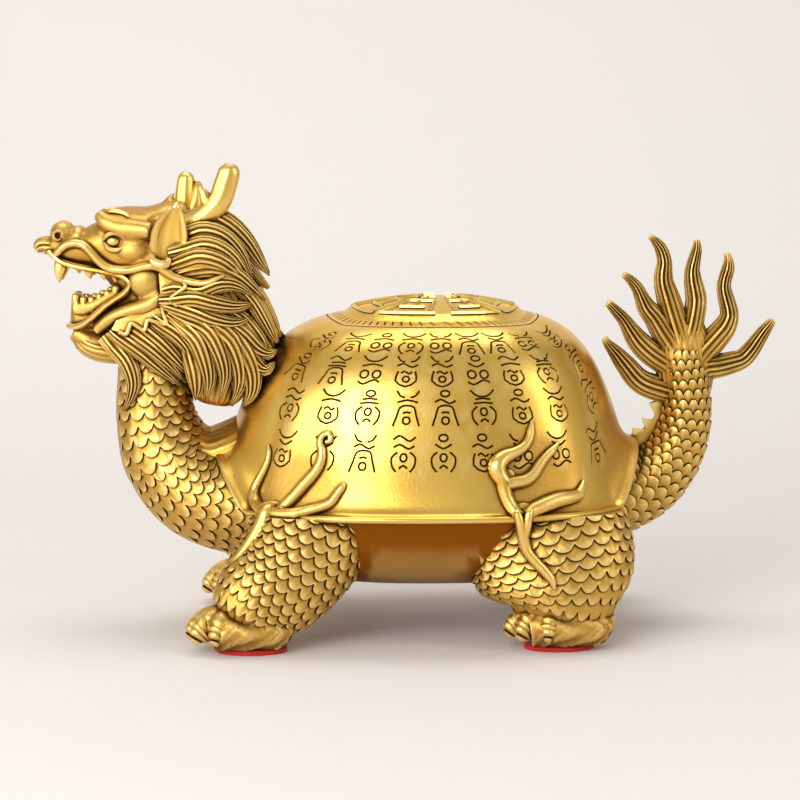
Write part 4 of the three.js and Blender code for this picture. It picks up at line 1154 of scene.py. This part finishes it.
def brass():
    made = Shading("antiqued_brass")
    number, blend, ramp = made.number, made.blend, made.ramp
    told = made.node("Attribute", attribute_name="finish").outputs["Fac"]
    # 1 on the belly, whose colour is painted shade and painted reflection in dark brown.
    belly_shade = number("MULTIPLY", told, -1)
    left_bright = number("SUBTRACT", 1, number("MULTIPLY", grained_share(made), 0.8))
    finish = number("ADD", belly_shade, number("MULTIPLY", told, left_bright))
    fine_open = made.openness(0.0014, 0.55, 0.95)
    broad_open = made.openness(0.009, 0.2, 0.85)
    cloud = made.noise(60, 6)

    polished = blend(ramp(made.noise(24, 3), 0.35, 0.65), *POLISHED_TONES)
    bright = blend(finish, BRIGHT_CAST, polished)
    mottled = blend(ramp(cloud, 0.3, 0.7), *CAST_TONES)
    skin_colour = blend(number("MAXIMUM", number("MULTIPLY", finish, 0.9), 0.35), mottled, bright)
    # Painted shade: shaded brown where the surface is closed in within a broad distance, and dark brown
    # painted shade and reflection on the belly.
    shaded = blend(belly_shade, blend(broad_open, SHADED_BROWN, skin_colour), PAINTED_BELLY_SHADE)
    worn = ramp(made.node("NewGeometry").outputs["Pointiness"], 0.505, 0.56)
    colour = blend(number("MULTIPLY", worn, fine_open), blend(fine_open, RECESS_BROWN, shaded), WORN_EDGE)
    made.feed(made.shader.inputs["Base Color"], colour)

    smoothness = number("SUBTRACT", 0.46, number("MULTIPLY", finish, 0.2))
    rough = number("ADD", smoothness, number("MULTIPLY", cloud, 0.08))
    rough = number("ADD", rough, number("MULTIPLY", number("SUBTRACT", 1, fine_open), 0.3))
    made.feed(made.shader.inputs["Roughness"], rough)
    made.shader.inputs["Metallic"].default_value = 1.0
    made.bump(made.noise(1000, 3), 0.0004, number("SUBTRACT", 0.36, number("MULTIPLY", finish, 0.27)))
    return made.material


def felt():
    made = Shading("red_felt")
    fibres = made.noise(1500, 5)
    tint = made.ramp(fibres, 0, 1, (0.3, 0.006, 0.004, 1), (0.7, 0.02, 0.012, 1))
    made.feed(made.shader.inputs["Base Color"], tint)
    made.shader.inputs["Roughness"].default_value = 0.95
    made.shader.inputs["Sheen Weight"].default_value = 0.1
    made.bump(fibres, 0.0003, 0.8)
    return made.material


figure = scaled_casting()
figure.data.materials.clear()
figure.data.materials.append(brass())
finished(figure, "cast_brass_figure", CASTING, 38)

FUZZ = 0.00012
SOFT_EDGE = 0.0006
PAD_SIDES = 96
PAD_ROWS = 9


def felt_pad(node_name, finish):
    """A pad of the node's own oval outline and thickness, with soft edges and a woolly rim."""
    low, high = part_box(node_name)
    middle, half = (low + high) / 2, (high - low) / 2
    fuzz = np.random.default_rng(3).uniform(-FUZZ, 0.0, (PAD_ROWS, PAD_SIDES))
    angle = turns(PAD_SIDES)
    rings = []
    for row, turn in enumerate(np.linspace(-0.5, 0.5, PAD_ROWS) * math.pi):
        inset = SOFT_EDGE * (1 - math.cos(turn)) ** 1.5
        rings.append(np.stack([middle.x + (half.x - inset + fuzz[row]) * np.cos(angle),
                               middle.y + (half.y - inset + fuzz[row]) * np.sin(angle),
                               np.full(PAD_SIDES, low.z + half.z * (1 + math.sin(turn)))], -1))
    pad = solid_from_rings(rings, GRAINED)
    pad.data.materials.append(finish)
    finished(pad, node_name + "_soft", node_name, 50)


red_felt = felt()
for place in ("front_left", "front_right", "hind_left", "hind_right"):
    felt_pad("felt_pad_" + place, red_felt)
bpy.context.scene.collection.children.unlink(workshop)


# Studio: pale floor, pale surroundings, soft lamps and the photograph's view

CURVE_START = 0.28
CURVE_RADIUS = 0.25
PAPER_HALF_WIDTH = 3.0
WALL_TOP = 2.5


def paper_sweep():
    """A pale sweep of paper: floor, a gentle curve and a wall behind."""
    rows = [(-PAPER_HALF_WIDTH, 0.0)]
    rows += [(CURVE_START + CURVE_RADIUS * math.sin(a), CURVE_RADIUS * (1 - math.cos(a)))
             for a in np.linspace(0, math.pi / 2, 16)]
    rows += [(CURVE_START + CURVE_RADIUS, WALL_TOP)]
    points = [[x, y, z] for y, z in rows for x in (-PAPER_HALF_WIDTH, PAPER_HALF_WIDTH)]
    faces = [[2 * i, 2 * i + 1, 2 * i + 3, 2 * i + 2] for i in range(len(rows) - 1)]
    mesh = bpy.data.meshes.new("paper_sweep")
    mesh.from_pydata(points, [], faces)
    mesh.shade_smooth()
    paper = Shading("pale_paper")
    paper.shader.inputs["Base Color"].default_value = (0.78, 0.745, 0.72, 1)
    paper.shader.inputs["Roughness"].default_value = 0.7
    mesh.materials.append(paper.material)
    floor = bpy.data.objects.new("paper_sweep", mesh)
    bpy.context.scene.collection.objects.link(floor)


def room():
    world = bpy.data.worlds.new("pale_room")
    bpy.context.scene.world = world
    world.use_nodes = True
    background = world.node_tree.nodes["Background"]
    background.inputs["Color"].default_value = (0.86, 0.85, 0.84, 1)
    background.inputs["Strength"].default_value = 0.63


def aimed(name, data, place, aim):
    """A lamp or camera at a place, looking at its aim."""
    holder = bpy.data.objects.new(name, data)
    bpy.context.scene.collection.objects.link(holder)
    holder.location = place
    holder.rotation_euler = (Vector(aim) - Vector(place)).to_track_quat("-Z", "Y").to_euler()
    return holder


# Name, place, width, height and power of each lamp
LAMPS = [("key", (-0.4, -0.75, 0.42), 0.5, 0.45, 4.2), ("left", (-0.8, -0.45, 0.3), 0.3, 0.5, 1.8),
         ("fill", (0.8, -0.5, 0.45), 0.25, 0.7, 1.6), ("top", (0.0, 0.1, 0.9), 0.7, 0.4, 2.4)]


def lamps():
    for name, place, width, height, power in LAMPS:
        light = bpy.data.lights.new(name, "AREA")
        light.shape = "RECTANGLE"
        light.size, light.size_y = width, height
        light.energy = power
        aimed(name, light, place, (0, 0, 0.07))


# The photograph's view: its frame, how large a drawn millimetre is in it, and where it looks from
PHOTO_PIXELS = 800
PIXELS_PER_MM = 3.0
VIEW_DISTANCE = 800
VIEW_AIM = (-1.67, 0, 75.9)
VIEW_AZIMUTH = math.radians(-3)
VIEW_ELEVATION = math.radians(7)
SENSOR = 36


def view():
    aim = Vector(VIEW_AIM) * UNIT + Vector((SHIFT_X, 0, 0))
    direction = Vector((math.sin(VIEW_AZIMUTH) * math.cos(VIEW_ELEVATION),
                        -math.cos(VIEW_AZIMUTH) * math.cos(VIEW_ELEVATION), math.sin(VIEW_ELEVATION)))
    camera = aimed("camera", bpy.data.cameras.new("camera"), aim + direction * VIEW_DISTANCE * UNIT, aim)
    camera.data.sensor_width = SENSOR
    camera.data.lens = SENSOR * PIXELS_PER_MM * VIEW_DISTANCE / PHOTO_PIXELS
    bpy.context.scene.camera = camera
    bpy.context.scene.view_settings.view_transform = "Standard"


paper_sweep()
room()
lamps()
view()
